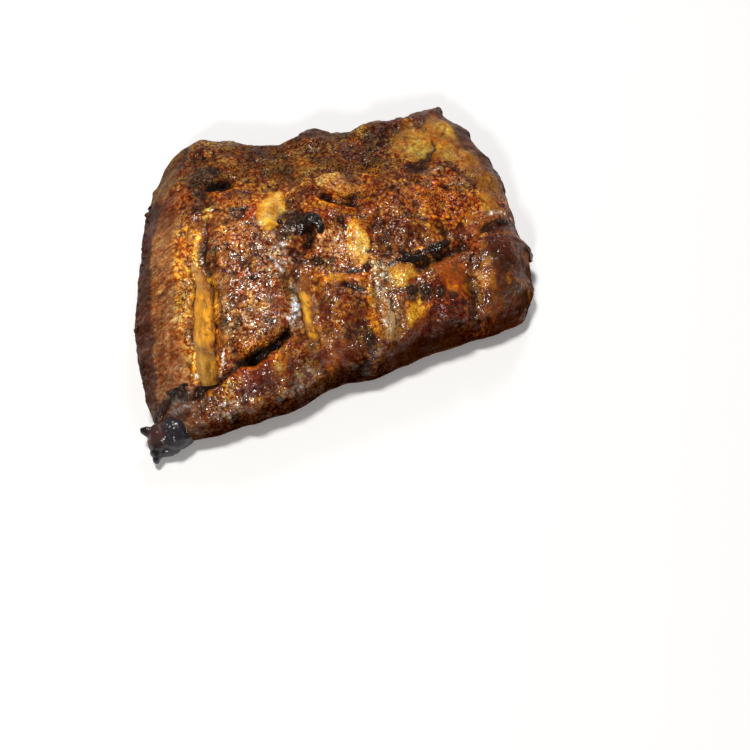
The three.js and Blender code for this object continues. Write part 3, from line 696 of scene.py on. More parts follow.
def paintStainsAndShading(colour, x, y, z, s, t):
    masks = {}
    for hue, places in stainsAndShading:
        share = allCoverage(places, x, y)
        masks[hue] = np.maximum(masks.get(hue, 0), share)
        colour = layHue(colour, hue, share)
    char = np.maximum(masks["char"], masks["coal"])
    frontRight = smooth((0.075 - t) / 0.04) * smooth((x + 16) / 16) * (1 - char)
    colour = layHue(colour, "brick", frontRight * smooth(0.7 + layered(x, y + z, 6, 3, 98)) * 0.55)
    backRight = smooth((s - 0.93) / 0.03 + 0.3 * layered(x, y, 5, 2, 99)) * smooth((t - 0.5) / 0.1)
    return layHue(colour, "cutDark", backRight * 0.95), masks, char


def paintBrowning(colour, x, y, masks, plain, cut):  # amber film and drops of oil, and dark specks
    film = smooth((layered(x, y, 6, 3, 80) - 0.08) / 0.3)
    colour = layHue(colour, "amber", film * plain * (1 - cut) * browningAndShade["film"])
    drops = smooth((layered(x, y, 2.8, 2, 82) - 0.34) / 0.14) * (1 - masks["crust"])
    colour = layHue(colour, "gold", drops * plain * (1 - cut) * browningAndShade["drops"])
    specks = smooth((layered(x, y, 3.2, 3, 85) - 0.28) / 0.14) * (0.6 + 0.4 * masks["crust"])
    return layHue(colour, "darkCrust", specks * plain * (1 - 0.6 * cut) * browningAndShade["specks"])


def cutLines(x, y, z, pitch):  # meat fibres that run along the cut end
    return noise(x / 9 + 0.2 * noise(x / 4, y / 4, 31), (0.87 * y + 0.5 * z) / pitch, 12)


# Painted light on the raised grains, painted shade in the low grains and in the hollows, and a loose tint.
def paintDepth(colour, x, y, z, hollow, crease, fatty, cut):  # light and dark grains, dark hollows
    grains = 0.75 * crease + 0.5 * layered(x, y, 2.2, 3, 70)
    keep = 1 - 0.6 * fatty
    deep = smooth((-grains - 0.1) / 1.1) * keep * (1 - 0.4 * cut)
    colour = layHue(colour, "shade", deep * browningAndShade["deep"])
    light = 1 + browningAndShade["light"] * smooth((grains - 0.2) / 0.9) * keep
    tint = (1 + 0.18 * layered(x, y, 9, 2, 75)) * (1 + 0.1 * cutLines(x, y, z, 0.8) * cut)
    # Painted shade in the hollows.
    tint = tint * (1 - browningAndShade["hollow"] * smooth(hollow * 1.3) * (1 - 0.5 * fatty))
    return colour * (light * tint)[:, None]


def balance(colour, t, masks, fatty, cut):  # how vivid each kind of surface is, and how warm
    grey = colour.mean(axis=1)[:, None]
    # Painted sheen and glints, and the grey places, are less vivid and bluer.
    sheenAndGrey = np.maximum(np.maximum(masks["paintedSheen"], masks["paintedGlint"]), masks["grey"] * 0.8)
    pinkish = np.maximum(masks["pinkTan"], masks["rosy"]) * (1 - masks["fat"])
    vivid = 1.2 - 0.15 * cut - 0.2 * sheenAndGrey - 0.12 * pinkish
    dryBlue = 0.64 + 0.22 * fatty + 0.16 * pinkish + 0.12 * cut * (1 - smooth((t - 0.2) / 0.25))
    blue = mix(dryBlue, 0.96, smooth(sheenAndGrey * 2))
    warmth = np.column_stack([0.985 - 0.025 * fatty, 0.97 + 0.005 * fatty, blue])
    return (grey + (colour - grey) * vivid[:, None]) * warmth


def paintMeat(x, y, z, s, t, hollow, crease, isLow):
    colour, front, cut = paintSides(x, y, s, t)
    colour, masks, char = paintStainsAndShading(colour, x, y, z, s, t)
    fatty = np.maximum(np.maximum(masks["fat"] * 0.8, masks["cream"]), masks["gold"] * 0.7)
    plain = (1 - char) * (1 - 0.7 * fatty)
    colour = paintBrowning(colour, x, y, masks, plain, cut)
    colour = paintDepth(colour, x, y, z, hollow, crease, fatty, cut)
    # Painted shade on the front side.
    colour = colour * (1 - browningAndShade["frontShade"] * front)[:, None]
    # Painted shadow along the front edge and at its foot, lighter towards the lobe.
    towardsLobe = smooth((x - 35) / 20)
    edge = smooth((0.024 - t) / 0.02) * (0.75 - 0.35 * towardsLobe)
    frontFoot = smooth((x + 6) / 28) * smooth((0.05 - t) / 0.045) * (0.85 - 0.45 * towardsLobe)
    colour = layHue(colour, "shade", np.maximum(edge, frontFoot))
    # The underside in umber: painted shade.
    colour = layHue(colour, "umber", isLow * 0.8)
    return np.clip(balance(colour, t, masks, fatty, cut), 3, 250), cut


def addMesh(name, bm):
    mesh = bpy.data.meshes.new(name)
    bm.to_mesh(mesh)
    bm.free()
    piece = bpy.data.objects.new(name, mesh)
    bpy.context.scene.collection.objects.link(piece)
    mesh.shade_smooth()
    return piece


def readVectors(piece, field):
    values = np.empty(len(piece.data.vertices) * 3)
    piece.data.vertices.foreach_get(field, values)
    return values.reshape(-1, 3)


def readPoints(piece):
    return readVectors(piece, "co")


def readNormals(piece):
    return readVectors(piece, "normal")


def writePoints(piece, points):
    piece.data.vertices.foreach_set("co", points.ravel())
    piece.data.update()


def place(piece, points):  # from the form's own frame to metres, kept inside the rack's box
    low, high = (np.array(list(p)) for p in cadBox)
    writePoints(piece, np.clip((points + shift) * mm, low + 1e-5, high - 1e-5))


def writeShare(piece, name, values):
    layer = piece.data.attributes.new(name, "FLOAT", "POINT")
    layer.data.foreach_set("value", np.clip(values, 0, 1).astype(np.float32))


def writePaint(piece, colour):  # screen colours to linear
    c = np.clip(colour, 0, 255) / 255
    linear = np.where(c > 0.04045, ((c + 0.055) / 1.055) ** 2.4, c / 12.92)
    layer = piece.data.attributes.new("paint", "FLOAT_COLOR", "POINT")
    layer.data.foreach_set("color", np.column_stack([linear, np.ones(len(c))]).astype(np.float32).ravel())


def settle(piece, points, colour, **shares):  # puts a piece in place with its paint and its shares
    place(piece, points)
    writePaint(piece, colour)
    for name, share in shares.items():
        writeShare(piece, name, np.full(len(points), share))
    return piece


def moveVerts(verts, points):
    for v, p in zip(verts, points):
        v.co = p


def icoBall(bm, fine):  # a ball of radius 1: its vertices and where they are
    made = bmesh.ops.create_icosphere(bm, subdivisions=fine, radius=1)["verts"]
    return made, np.array([v.co for v in made])


def blurred(field, reach):  # mean over a square of cells, edges repeated
    for axis in (0, 1):
        pad = [(reach, reach) if a == axis else (0, 0) for a in (0, 1)]
        run = np.cumsum(np.pad(field, pad, mode="edge"), axis=axis)
        run = np.insert(run, 0, 0, axis=axis)
        n = field.shape[axis]
        high = np.take(run, np.arange(2 * reach + 1, n + 2 * reach + 1), axis=axis)
        low = np.take(run, np.arange(0, n), axis=axis)
        field = (high - low) / (2 * reach + 1)
    return field


# The grain of the slab: how strong each kind is and how wide, and how far the flap hangs out.
grain = dict(coarse=0.9, coarsePitch=4.8, clod=0.7, clodPitch=2.3, fine=0.16, finePitch=1.5,
             flapOut=2.6, charClods=0.55, backCrags=0.9)


def slabMesh():
    bm = bmesh.new()
    nx, ny, coarser = slab["cellsAcross"], slab["cellsAlong"], slab["undersideCoarser"]
    bmesh.ops.create_grid(bm, x_segments=nx, y_segments=ny, size=0.5)
    under = bmesh.new()
    bmesh.ops.create_grid(under, x_segments=nx // coarser, y_segments=ny // coarser, size=0.5)
    rimEdges = [e for e in under.edges if e.is_boundary]
    bmesh.ops.subdivide_edges(under, edges=rimEdges, cuts=coarser - 1)
    bmesh.ops.reverse_faces(under, faces=under.faces)
    bmesh.ops.triangulate(under, faces=[f for f in under.faces if len(f.verts) > 4])
    for v in under.verts:
        v.co.z = 0 if v.is_boundary else -1
    low = bpy.data.meshes.new("low")
    under.to_mesh(low)
    under.free()
    bm.from_mesh(low)
    bpy.data.meshes.remove(low)
    bmesh.ops.remove_doubles(bm, verts=[v for v in bm.verts if v.is_boundary], dist=1e-5)
    return addMesh("meatSlab", bm)


def clodRelief(x, y):  # rounded clods, in places along the ribs and in places across them
    wx, wy = x + 0.9 * layered(x, y, 3, 2, 150), y + 0.9 * layered(x, y, 3, 2, 155)
    kinds = []
    for across, along, seed in ((1.5, 0.8, 160), (0.75, 1.5, 164)):
        nearest = nearestCell(wx / across, wy / along, grain["clodPitch"], seed)
        kinds.append(np.sqrt(clamp01(1 - (nearest / 0.85) ** 2)) - 0.6)
    lengthwise = smooth(0.5 + 1.6 * layered(x, y, 14, 2, 170))
    return grain["clod"] * mix(*kinds, lengthwise) * clamp01(0.75 + 0.9 * layered(x, y, 9, 2, 165))


def grainRelief(x, y):
    coarse = grain["coarse"] * layered(x, y, grain["coarsePitch"], 2, 5)
    return coarse + clodRelief(x, y) + grain["fine"] * layered(x, y, grain["finePitch"], 2, 8)


def flapReach(x, y):  # where the flap hangs out over the tear in front of it
    behindTear = smooth((y - np.interp(x, [-54, -19], [-50.4, -39])) / 1.5)
    return bell(pathDistance(grooves["flapLip"][0], x, y), 4) * behindTear * smooth((x + 44) / 12)


def lowSide(x, y, s, t):  # it rolls in from the rim, then follows the arch with the ribs as low ridges
    toRim = np.minimum(np.minimum(s, 1 - s), np.minimum(t, 1 - t))
    inwards = quarterRound(toRim / slab["rimUnderShare"])
    lift = 1.6 + 0.9 * noise(x / 11, y / 11, 3) + 0.4 * layered(x, y, 5, 3, 60)
    for r in ribs:
        lift = lift - 1.6 * bell(x - r["x"], 6)
    return underside(t) + mix(rimAt(t), lift * clamp01(underside(t) / 3), inwards)


def depthFields(z, order):  # how far each place of the top lies below what is round it, far and near
    field = z[order].reshape(slab["cellsAlong"] + 1, slab["cellsAcross"] + 1)
    hollow, crease = np.zeros(len(z)), np.zeros(len(z))
    hollow[order] = (blurred(blurred(field, 8), 8) - field).ravel() / 2.4
    crease[order] = (field - blurred(blurred(field, 2), 2)).ravel() / 0.3
    return hollow, np.clip(crease, -2, 2)


def wetness(x, y, t, hollow, cut):
    wet = np.maximum(allCoverage(wetPlaces, x, y), 0.4) * (0.8 + 0.5 * layered(x, y, 5, 2, 95))
    frontWet = 0.8 * smooth((0.13 - t) / 0.05) * (1 - 0.4 * smooth((x + 8) / 24))
    wet = np.maximum(wet, frontWet)
    for at, size in (((4, 12), (14, 6)), ((26, 18), (14, 8))):
        wet = wet * (1 - 0.5 * oneCoverage(at, size, x, y))
    wet = wet * (1 - 0.6 * cut) * (1 - 0.6 * smooth((y - 10) / 26)) * (1 - 0.5 * smooth(hollow))
    return np.maximum(wet, 0.9 * oneCoverage((-61.5, -54), (6, 4.5), x, y))


def shapeSlab(piece):
    raw = readPoints(piece)
    u, v, isLow = raw[:, 0] + 0.5, raw[:, 1] + 0.5, raw[:, 2] < -0.5
    s = spread(u, slab["rollLeft"], slab["rollRight"])
    t = spread(v, slab["rollFront"], slab["rollBack"])
    x, y = planPoint(s, t)
    climb = sideClimb(s, t)
    top = topShare(climb)
    bare = nearBareRib(x, y)
    charPlaces = [p for hue, places in stainsAndShading if hue in ("char", "coal") for p in places]
    cut = smooth((cutFace["reach"] - s) / cutFace["fade"])
    grainy = (1 - allCoverage(smoothPlaces, x, y)) * (1 - 0.85 * cut)
    calm = (1 - 0.6 * bare) * (0.25 + 0.75 * grainy) * (0.35 + 0.65 * top)
    granular = grainRelief(x, y) * calm
    dome = mix(underside(t) + rimAt(t), domeHeight(s, t), climb)
    striated = 0.12 * cutLines(x, y, dome, 1.1) * cut
    clods = smooth(layered(x, y, 2.4, 2, 40) * 1.6 + 0.2) * allCoverage(charPlaces, x, y) * (1 - bare)
    z = dome + (relief(x, y) + boneFilm(x, y) + grain["charClods"] * clods) * top
    y = y - grain["flapOut"] * flapReach(x, y) * top
    z = np.where(isLow, lowSide(x, y, s, t), z)
    # The grain stands out along the surface, on the sides too, and most on the back edge.
    points = np.column_stack([x, y, z])
    place(piece, points)
    rugged = 0.55 * layered3(points, 3.6, 3, 600) + 0.3 * layered3(points, 1.5, 2, 610) - 0.15
    crags = rugged * (1 + grain["backCrags"] * smooth((t - 0.84) / 0.1)) * (1 - top) * (1 - 0.5 * cut)
    stands = np.where(isLow, 0.4 * rugged, granular + striated + crags)
    points = points + readNormals(piece) * stands[:, None]
    points[:, 2] = np.maximum(points[:, 2], 0)
    place(piece, points)
    x, y, z = points.T
    topOnly = np.flatnonzero(~isLow)
    order = topOnly[np.lexsort((u[topOnly], v[topOnly]))]  # the top's grid, row by row
    hollow, crease = depthFields(z, order)
    colour, cut = paintMeat(x, y, z, s, t, hollow, crease, isLow.astype(float))
    writePaint(piece, colour)
    facing = smooth((readNormals(piece)[:, 2] - 0.25) / 0.4)
    shares = dict(
        wet=wetness(x, y, t, hollow, cut) * (0.07 + 0.93 * facing), dull=np.maximum(1 - facing, isLow),
        grainy=grainy * (1 - 0.5 * bare), cut=cut,
    )
    for name, values in shares.items():
        writeShare(piece, name, values)


meatSlab = slabMesh()
shapeSlab(meatSlab)
print("slab of meat:", len(meatSlab.data.vertices), "points")


def smoothLine(points, steps):  # a curve through the points, evenly stepped
    points = np.array(points, float)
    ends = np.vstack([2 * points[0] - points[1], points, 2 * points[-1] - points[-2]])
    out = []
    for k in range(steps + 1):
        at = k / steps * (len(points) - 1)
        i = min(int(at), len(points) - 2)
        f = at - i
        a, b, c, d = ends[i:i + 4]
        bend = (2 * a - 5 * b + 4 * c - d) * f * f + (3 * b - a - 3 * c + d) * f ** 3
        out.append(0.5 * (2 * b + (c - a) * f + bend))
    return np.array(out)


def tubeMesh(name, line, wide, deep, sides):
    # A closed tube along a line: half widths and half depths at each point, closed at both ends.
    steps = len(line) - 1
    bm = bmesh.new()
    bmesh.ops.create_grid(bm, x_segments=sides, y_segments=steps, size=0.5)
    piece = addMesh(name, bm)
    raw = readPoints(piece)
    row = np.rint((raw[:, 1] + 0.5) * steps).astype(int)
    ahead = np.gradient(line, axis=0)
    ahead /= np.linalg.norm(ahead, axis=1)[:, None]
    across = np.cross(ahead, (0, 0, 1))
    across /= np.linalg.norm(across, axis=1)[:, None]
    upward = np.cross(across, ahead)
    angle = (raw[:, 0] + 0.5) * 2 * math.pi
    sideways, upwards = wide[row] * np.cos(angle), deep[row] * np.sin(angle)
    writePoints(piece, line[row] + across[row] * sideways[:, None] + upward[row] * upwards[:, None])
    return piece, angle, row


def closeTube(piece):
    bm = bmesh.new()
    bm.from_mesh(piece.data)
    bmesh.ops.remove_doubles(bm, verts=bm.verts, dist=2e-6)
    bmesh.ops.recalc_face_normals(bm, faces=bm.faces)
    bm.to_mesh(piece.data)
    bm.free()
    piece.data.shade_smooth()
    return piece


def sharesAt(x, y):  # where in the plan a place lies, found step by step
    s, t = np.full_like(x, 0.5), np.full_like(x, 0.5)
    for _ in range(30):
        px, py = planPoint(s, t)
        s, t = clamp01(s + (x - px) / 150), clamp01(t + (y - py) / 120)
    return s, t


def surfaceHeight(x, y):  # the top of the slab at a place, without its grain
    s, t = sharesAt(x, y)
    climb = sideClimb(s, t)
    return mix(underside(t) + rimAt(t), domeHeight(s, t), climb) + relief(x, y) * topShare(climb)


def onMeat(x, y, lift=0.0):
    z = surfaceHeight(np.array([float(x)]), np.array([float(y)]))[0]
    return (x, y, z + lift)


boneSkins = dict(  # tones of the bones: main, pale, edge and dark
    gold=((204, 138, 34), (218, 168, 84), (222, 148, 20), (88, 52, 20)),
    yellow=((214, 154, 34), (232, 192, 98), (190, 118, 14), (100, 58, 16)),
    grey=((166, 130, 78), (200, 172, 124), (156, 104, 34), (84, 56, 34)),
)
boneMarks = dict(cream=(236, 196, 120), dark=(70, 44, 34), dots=(96, 40, 20))


def boneLine(rib):
    y = np.linspace(rib["front"], rib["back"], boneForm["steps"] + 1)
    x = ribX(rib, y)
    s, t = sharesAt(x, y)
    cover = mix(boneForm["sinkCovered"], boneForm["sinkBare"], bareness(rib, y, boneForm["fade"]))
    top = mix(underside(t) + rimAt(t), domeHeight(s, t), quarterRound(t / slab["rollFront"]))
    dip = boneForm["dipBack"] * smooth((t - 0.55) / 0.45)
    return np.column_stack([x, y, top - cover - dip - boneForm["depth"] / 2])


def paintBone(rib, index, points):
    x, y, z = points.T
    main, pale, edgeTone, brown = boneSkins[rib["skin"]]
    side = x - ribX(rib, y)
    band = smooth(0.5 + 0.9 * noise(side / 1.3 + 0.5 * noise(y / 9, side, 230), y / 22, 231 + index))
    colour = tinted(np.array(main, float), pale, band * 0.7)
    colour = tinted(colour, edgeTone, smooth((side + 0.4) / 1.8) * 0.8)
    streaky = smooth((layered(side * 6, y, 5, 3, 240 + index) - 0.25) / 0.2)
    colour = tinted(colour, brown, streaky * 0.28)
    colour = colour * (1 + 0.34 * layered(side * 4, y, 3.4, 3, 250))[:, None]
    flank = 0 * side
    if index == 0:  # cream towards the back, duller in front, a dark mark, meat over both flanks
        colour = colour * (1 - 0.2 * smooth((-36 - y) / 6))[:, None]
        colour = tinted(colour, boneMarks["cream"], smooth((y + 12) / 5))
        mark = bell(y + 40 + 0.5 * side + 1.2 * layered(x, y, 3, 2, 260), 1.6)
        colour = tinted(colour, boneMarks["dark"], mark * 0.45)
        reach = np.where(side < 0, 3.2, 4.2)
        flank = smooth((np.abs(side) - reach + 1.4 * layered(x, y, 2.4, 3, 280)) / 0.8)
    bare = z - surfaceHeight(x, y) - boneFilm(x, y) + 0.5 * layered(x, y, 2.4, 3, 270)
    flankTone = np.where((side < 0)[:, None], *rib["flanks"])
    colour = tinted(colour, flankTone, flank * 0.85)
    colour = tinted(colour, flankTone, smooth((0.7 - bare) / 0.6) * 0.9)
    dots = smooth((layered(x, y, 1.7, 3, 275) + 0.05 * side - 0.3) / 0.14)
    colour = tinted(colour, boneMarks["dots"], dots * 0.7)
    inside = smooth((np.abs(y - rib["back"]) - 1.2) / 0.6)  # the back end is darker
    return colour * (0.62 + 0.38 * inside)[:, None]


def makeBone(rib, index):
    line = boneLine(rib)
    along = np.linspace(0, 1, len(line))
    length = rib["back"] - rib["front"]
    close = quarterRound(np.minimum(along, 1 - along) * length / boneForm["endInset"])
    close[[0, -1]] = 0
    narrow = mix(boneForm["frontShare"], 1, smooth(along * length / boneForm["frontTaper"]))
    wide, deep = boneForm["width"] / 2 * close * narrow, boneForm["depth"] / 2 * close
    piece, angle, row = tubeMesh("bone" + str(index + 1), line, wide, deep, boneForm["sides"])
    points = readPoints(piece)
    x, y = points[:, 0], points[:, 1]
    # Fibres run along the bone; its skin is slightly wavy.
    fibre = noise(angle * 5, y / 14, 200 + index) * np.sin(angle) ** 2
    wave = layered(x, y, 7, 2, 210 + index)
    points[:, 2] += (0.16 * fibre + 0.22 * wave) * close[row]
    points[:, 0] += 0.1 * layered(y, angle * 4, 4, 2, 220 + index) * close[row]
    return closeTube(settle(piece, points, paintBone(rib, index, points)))


bones = [makeBone(rib, index) for index, rib in enumerate(ribs)]
print("bones:", sum(len(b.data.vertices) for b in bones), "points")


# The charred corner's lumps: centre, half sizes, turn and tilt in degrees.
tipLumps = [
    ((-65.5, -60, 6.2), (7.4, 6.2, 6.2), 20, 0), ((-63, -60.5, 5), (4, 4, 4.6), 0, 0),
    ((-70.6, -60.4, 5.8), (4.6, 6, 4.6), -25, 0), ((-74.6, -58.2, 6.6), (3.2, 1.7, 2.2), -24, 8),
    ((-76.6, -57.2, 7.2), (1.5, 0.9, 1.1), -30, 0), ((-72.6, -64.6, 4.2), (2.0, 3.4, 3), -14, 0),
    ((-73.4, -67.4, 3.4), (1.1, 2.0, 1.7), -10, 0), ((-68.4, -65.2, 3.4), (4.0, 2.4, 3.2), 4, 0),
]
# The bluish grey stands for the char's sheen: a painted reflection.
tipPaint = dict(
    slateSheen=(42, 38, 44), redBrown=(74, 42, 36), horns=[(-77, -57.5), (-73.4, -67.5)], hornReach=3.2,
)


def lumpPoints(raw, at, size, turn, tilt):
    x, y, z = (raw * size).T
    a, b = math.radians(tilt), math.radians(turn)
    x, z = x * math.cos(a) + z * math.sin(a), z * math.cos(a) - x * math.sin(a)
    return np.column_stack([x * math.cos(b) - y * math.sin(b), x * math.sin(b) + y * math.cos(b), z]) + at


def fused(name, voxel):  # what is in the named piece, fused into one closed skin
    piece = bpy.data.objects[name]
    skin = piece.modifiers.new("skin", "REMESH")
    skin.mode, skin.voxel_size, skin.use_smooth_shade = "VOXEL", voxel, True
    graph = bpy.context.evaluated_depsgraph_get()
    mesh = bpy.data.meshes.new_from_object(piece.evaluated_get(graph))
    piece.modifiers.clear()
    piece.data = mesh
    return piece


# The bluish grey on the right is the char's sheen, painted in.
def paintTip(points):  # red-brown in the middle, black on the two horns, slate on the right
    x, y, _ = points.T
    far = [np.hypot(x - hornX, y - hornY) for hornX, hornY in tipPaint["horns"]]
    horns = bell(np.min(far, axis=0), tipPaint["hornReach"])
    colour = np.array(tipPaint["slateSheen"], float) * (1 - 0.6 * horns)[:, None]
    redder = (layered3(points, 4, 2, 330) - 0.14 * (x + 67) + 0.03 * (y + 60)) / 0.5 + 0.3
    colour = tinted(colour, tipPaint["redBrown"], smooth(redder) * (1 - horns) * 0.8)
    return colour * (1 + 0.3 * layered3(points, 1.6, 2, 340))[:, None]


def makeTip():
    bm = bmesh.new()
    for lump in tipLumps:
        made, raw = icoBall(bm, 5)
        moveVerts(made, lumpPoints(raw, *lump))
    addMesh("charredTip", bm)
    piece = fused("charredTip", 0.42)
    points = readPoints(piece)
    folds = 0.4 + 0.5 * layered3(points, 6, 2, 300) - 1.3 * np.abs(layered3(points, 4.4, 2, 310))
    fine = (0.16 + 0.3 * smooth((points[:, 2] - 9) / 3)) * layered3(points, 1.4, 2, 320)
    points = points + readNormals(piece) * (folds + fine)[:, None]
    points[:, 2] = np.maximum(points[:, 2], 0.05)
    piece.data.shade_smooth()
    return settle(piece, points, paintTip(points), wet=0.8)


charredTip = makeTip()
print("charred corner:", len(charredTip.data.vertices), "points")


draw = np.random.default_rng(7)
# Places where crumbs of char lie in clumps: middle, how far they scatter, how many.
crumbPlaces = [
    ((26.4, -28.6), 1.6, 5), ((31.4, -29.2), 1.8, 7), ((36.7, -29.6), 1.4, 4), ((41.4, -30.6), 1, 2),
    ((-13.4, 6), 4, 8), ((-10, 7), 3, 4), ((31, -15), 2.6, 4), ((29, -15.4), 2, 3), ((37, -13), 3, 6),
    ((42, -10.6), 2, 3), ((-66, -50.6), 2.6, 5), ((-60, -49.4), 2.6, 4), ((8.6, -43), 2, 5),
    ((-44.4, -2), 2.4, 6), ((64, -1), 3, 1), ((-52, -52.4), 2.6, 6), ((11.8, -17), 1, 3),
    ((-5.6, -12.8), 2.4, 6), ((5.6, 3.4), 0.8, 2), ((-20.6, -36.6), 1.6, 4), ((-24, -39.4), 2, 4),
    ((-30, -42), 1.6, 3),
]
edgeBeads = dict(count=22, start=0.16, share=0.72)  # beads of char along the left edge
crumbColour = (50, 28, 17)


def crumbInto(bm, at, size, seed):
    made, raw = icoBall(bm, 3)
    rough = 1 + 0.34 * layered3(raw * 2 + seed * 3.1, 1.4, 2, 400)
    moveVerts(made, lumpPoints(raw * rough[:, None], at, (size, size * 0.8, size * 0.7), seed * 47, 0))


def makeCrumbs():
    bm = bmesh.new()
    for k in range(edgeBeads["count"]):
        t = edgeBeads["start"] + edgeBeads["share"] * (k + 0.6 * draw.random()) / edgeBeads["count"]
        x, y = planPoint(np.array([0.004]), np.array([t]))
        size = 0.6 + 0.8 * draw.random()
        crumbInto(bm, (x[0] + 0.8, y[0], underside(t) + rimAt(t) + 3 * draw.random()), size, k)
    seed = 30
    for (cx, cy), reach, count in crumbPlaces:
        for _ in range(count):
            x, y = cx + reach * draw.normal() * 0.5, cy + reach * draw.normal() * 0.4
            crumbInto(bm, onMeat(x, y, -0.1), 0.7 + 0.9 * draw.random(), seed)
            seed += 1
    piece = addMesh("charCrumbs", bm)
    points = readPoints(piece)
    mottled = 1 + 0.5 * layered3(points, 1.2, 2, 410)
    return settle(piece, points, np.array(crumbColour) * mottled[:, None])


charCrumbs = makeCrumbs()

chunk = dict(
    middle=(7, 20), thick=1.5, lift=0.2, slope=0.06,
    gold=(186, 130, 50), pale=(198, 150, 76), brown=(112, 60, 22),
    outline=[(-1.4, 24.2), (3, 26), (8, 25.6), (11.4, 21.1), (13.2, 15.9), (12, 13.2), (8.6, 13),
             (3.4, 17.2), (-0.6, 20.7)],
)


def outlineReach(outline, middle, heading):  # distance from the middle to the outline
    reach = np.full_like(heading, 1e9)
    corners = [(x - middle[0], y - middle[1]) for x, y in outline]
    c, s = np.cos(heading), np.sin(heading)
    for (ax, ay), (bx, by) in zip(corners, corners[1:] + corners[:1]):
        ex, ey = bx - ax, by - ay
        cross = c * ey - s * ex
        cross = np.where(np.abs(cross) < 1e-9, 1e-9, cross)
        far = (ax * ey - ay * ex) / cross
        share = (ax * s - ay * c) / cross
        hit = (far > 0) & (share >= -0.001) & (share <= 1.001)
        reach = np.where(hit, np.minimum(reach, far), reach)
    return np.where(reach > 1e8, 4.0, reach)


def paintChunk(points, seat):
    x, y, z = points.T
    # Paler towards the left and browner to the right, with loose mottling: painted light and shade over the
    # chunk's gold.
    paler = smooth(0.5 - (x - 4) / 8 + 0.8 * layered(x, y, 3, 3, 430))
    colour = tinted(np.array(chunk["gold"], float), chunk["pale"], paler * 0.7)
    browner = smooth((layered(x, y, 2.6, 3, 435) - 0.1) / 0.3 + 0.25 * (x - 8) / 6)
    colour = tinted(colour, chunk["brown"], browner * 0.6)
    # Darker towards its foot: painted shade.
    return colour * (0.35 + 0.65 * smooth((z - seat + 0.6) / 1.2))[:, None]


def makeChunk():  # a flat pale chunk lying on the crust, its front edge standing clear
    bm = bmesh.new()
    made, raw = icoBall(bm, 6)
    heading = np.arctan2(raw[:, 1], raw[:, 0])
    out = np.hypot(raw[:, 0], raw[:, 1]) ** 0.75 * outlineReach(chunk["outline"], chunk["middle"], heading)
    thick = chunk["thick"] * np.sign(raw[:, 2]) * np.abs(raw[:, 2]) ** 0.5
    points = np.column_stack([out * np.cos(heading), out * np.sin(heading), thick])
    rough = 0.7 * layered3(points, 3.4, 2, 420) + 0.35 * layered3(points, 1.4, 2, 425)
    points = points + raw * rough[:, None]
    seat = onMeat(*chunk["middle"])[2] + chunk["lift"]
    points[:, 2] += seat - chunk["slope"] * points[:, 1]
    moveVerts(made, points + (*chunk["middle"], 0))
    piece = addMesh("paleChunk", bm)
    points = readPoints(piece)
    return settle(piece, points, paintChunk(points, seat), wet=0.3, grainy=0.6)


paleChunk = makeChunk()

# Curled strips of char: path over the meat, half width, height over it at the middle, and, where
# it isn't as usual, how shaggy and how brown.
curls = [
    ([(-10.4, -0.8), (-9.8, 2), (-7.6, 4.2), (-5, 4.2), (-3, 1.6), (-2.6, -2.8)], 2.6, 1.0, 0.9),
    ([(-15.4, 0.2), (-13.4, 1.6), (-11, 1.0), (-9, 1.6)], 1.6, 0, 1.6, (0.8, 1.6)),
    ([(25.4, -11.2), (26.3, -14.4), (29.8, -16.8), (33.4, -14.4), (37, -13)], 1.2, 0.5, 1.4),
    ([(35.4, -13.4), (38.6, -12.4), (41.4, -10), (45.6, -8.2)], 1.6, 0.2, 1.3),
    (stripPath, 0.5, 0.4),
    ([(74, -10), (77, -11), (77.6, -9.4)], 0.7, 0.6),
    ([(-70.6, -57), (-69.4, -54), (-67.4, -51.4), (-65.8, -51), (-64, -49), (-61, -49), (-58.6, -48.6),
      (-56.8, -50.4)], 1.1, 0.2, 1.3),
]
curlPaint = dict(black=(24, 14, 9), brown=(44, 22, 10))


def makeCurl(index, path, half, high, shaggy=0.6, brown=(0.3, 1)):
    flat = smoothLine(path, 90)
    along = np.linspace(0, 1, len(flat))
    arc = np.sin(math.pi * along)
    z = surfaceHeight(flat[:, 0], flat[:, 1]) - 0.3 + high * arc ** 0.7
    taper = np.sqrt(arc) * (1 + 0.25 * layered(along * 40, 0 * along, 3, 2, 500 + index))
    taper[[0, -1]] = 0
    line = np.column_stack([flat, z])
    piece, angle, row = tubeMesh("charCurl" + str(index + 1), line, half * taper, half * 0.8 * taper, 28)
    points = readPoints(piece)
    rough = shaggy * layered3(points, 1.8, 3, 510 + index) * taper[row]
    points[:, 2] += rough
    points[:, 0] += 0.6 * rough
    browner = smooth(brown[0] + 1.6 * layered3(points, 3, 2, 530)) * brown[1]
    colour = np.array(curlPaint["black"]) + np.array(curlPaint["brown"]) * browner[:, None]
    mottled = 1 + 0.5 * layered3(points, 1.4, 2, 520)
    return closeTube(settle(piece, points, colour * mottled[:, None], wet=0.8))


charCurls = [makeCurl(index, *curl) for index, curl in enumerate(curls)]
print("char:", len(charCrumbs.data.vertices), "points")


class Signal:  # what a shader node gives; sums and products of it add maths nodes
    def __init__(self, look, socket):
        self.look, self.socket = look, socket

    def __add__(self, other):
        return self.look.maths("ADD", self, other)

    def __sub__(self, other):
        return self.look.maths("SUBTRACT", self, other)

    def __rsub__(self, other):
        return self.look.maths("SUBTRACT", other, self)

    def __mul__(self, other):
        return self.look.maths("MULTIPLY", self, other)


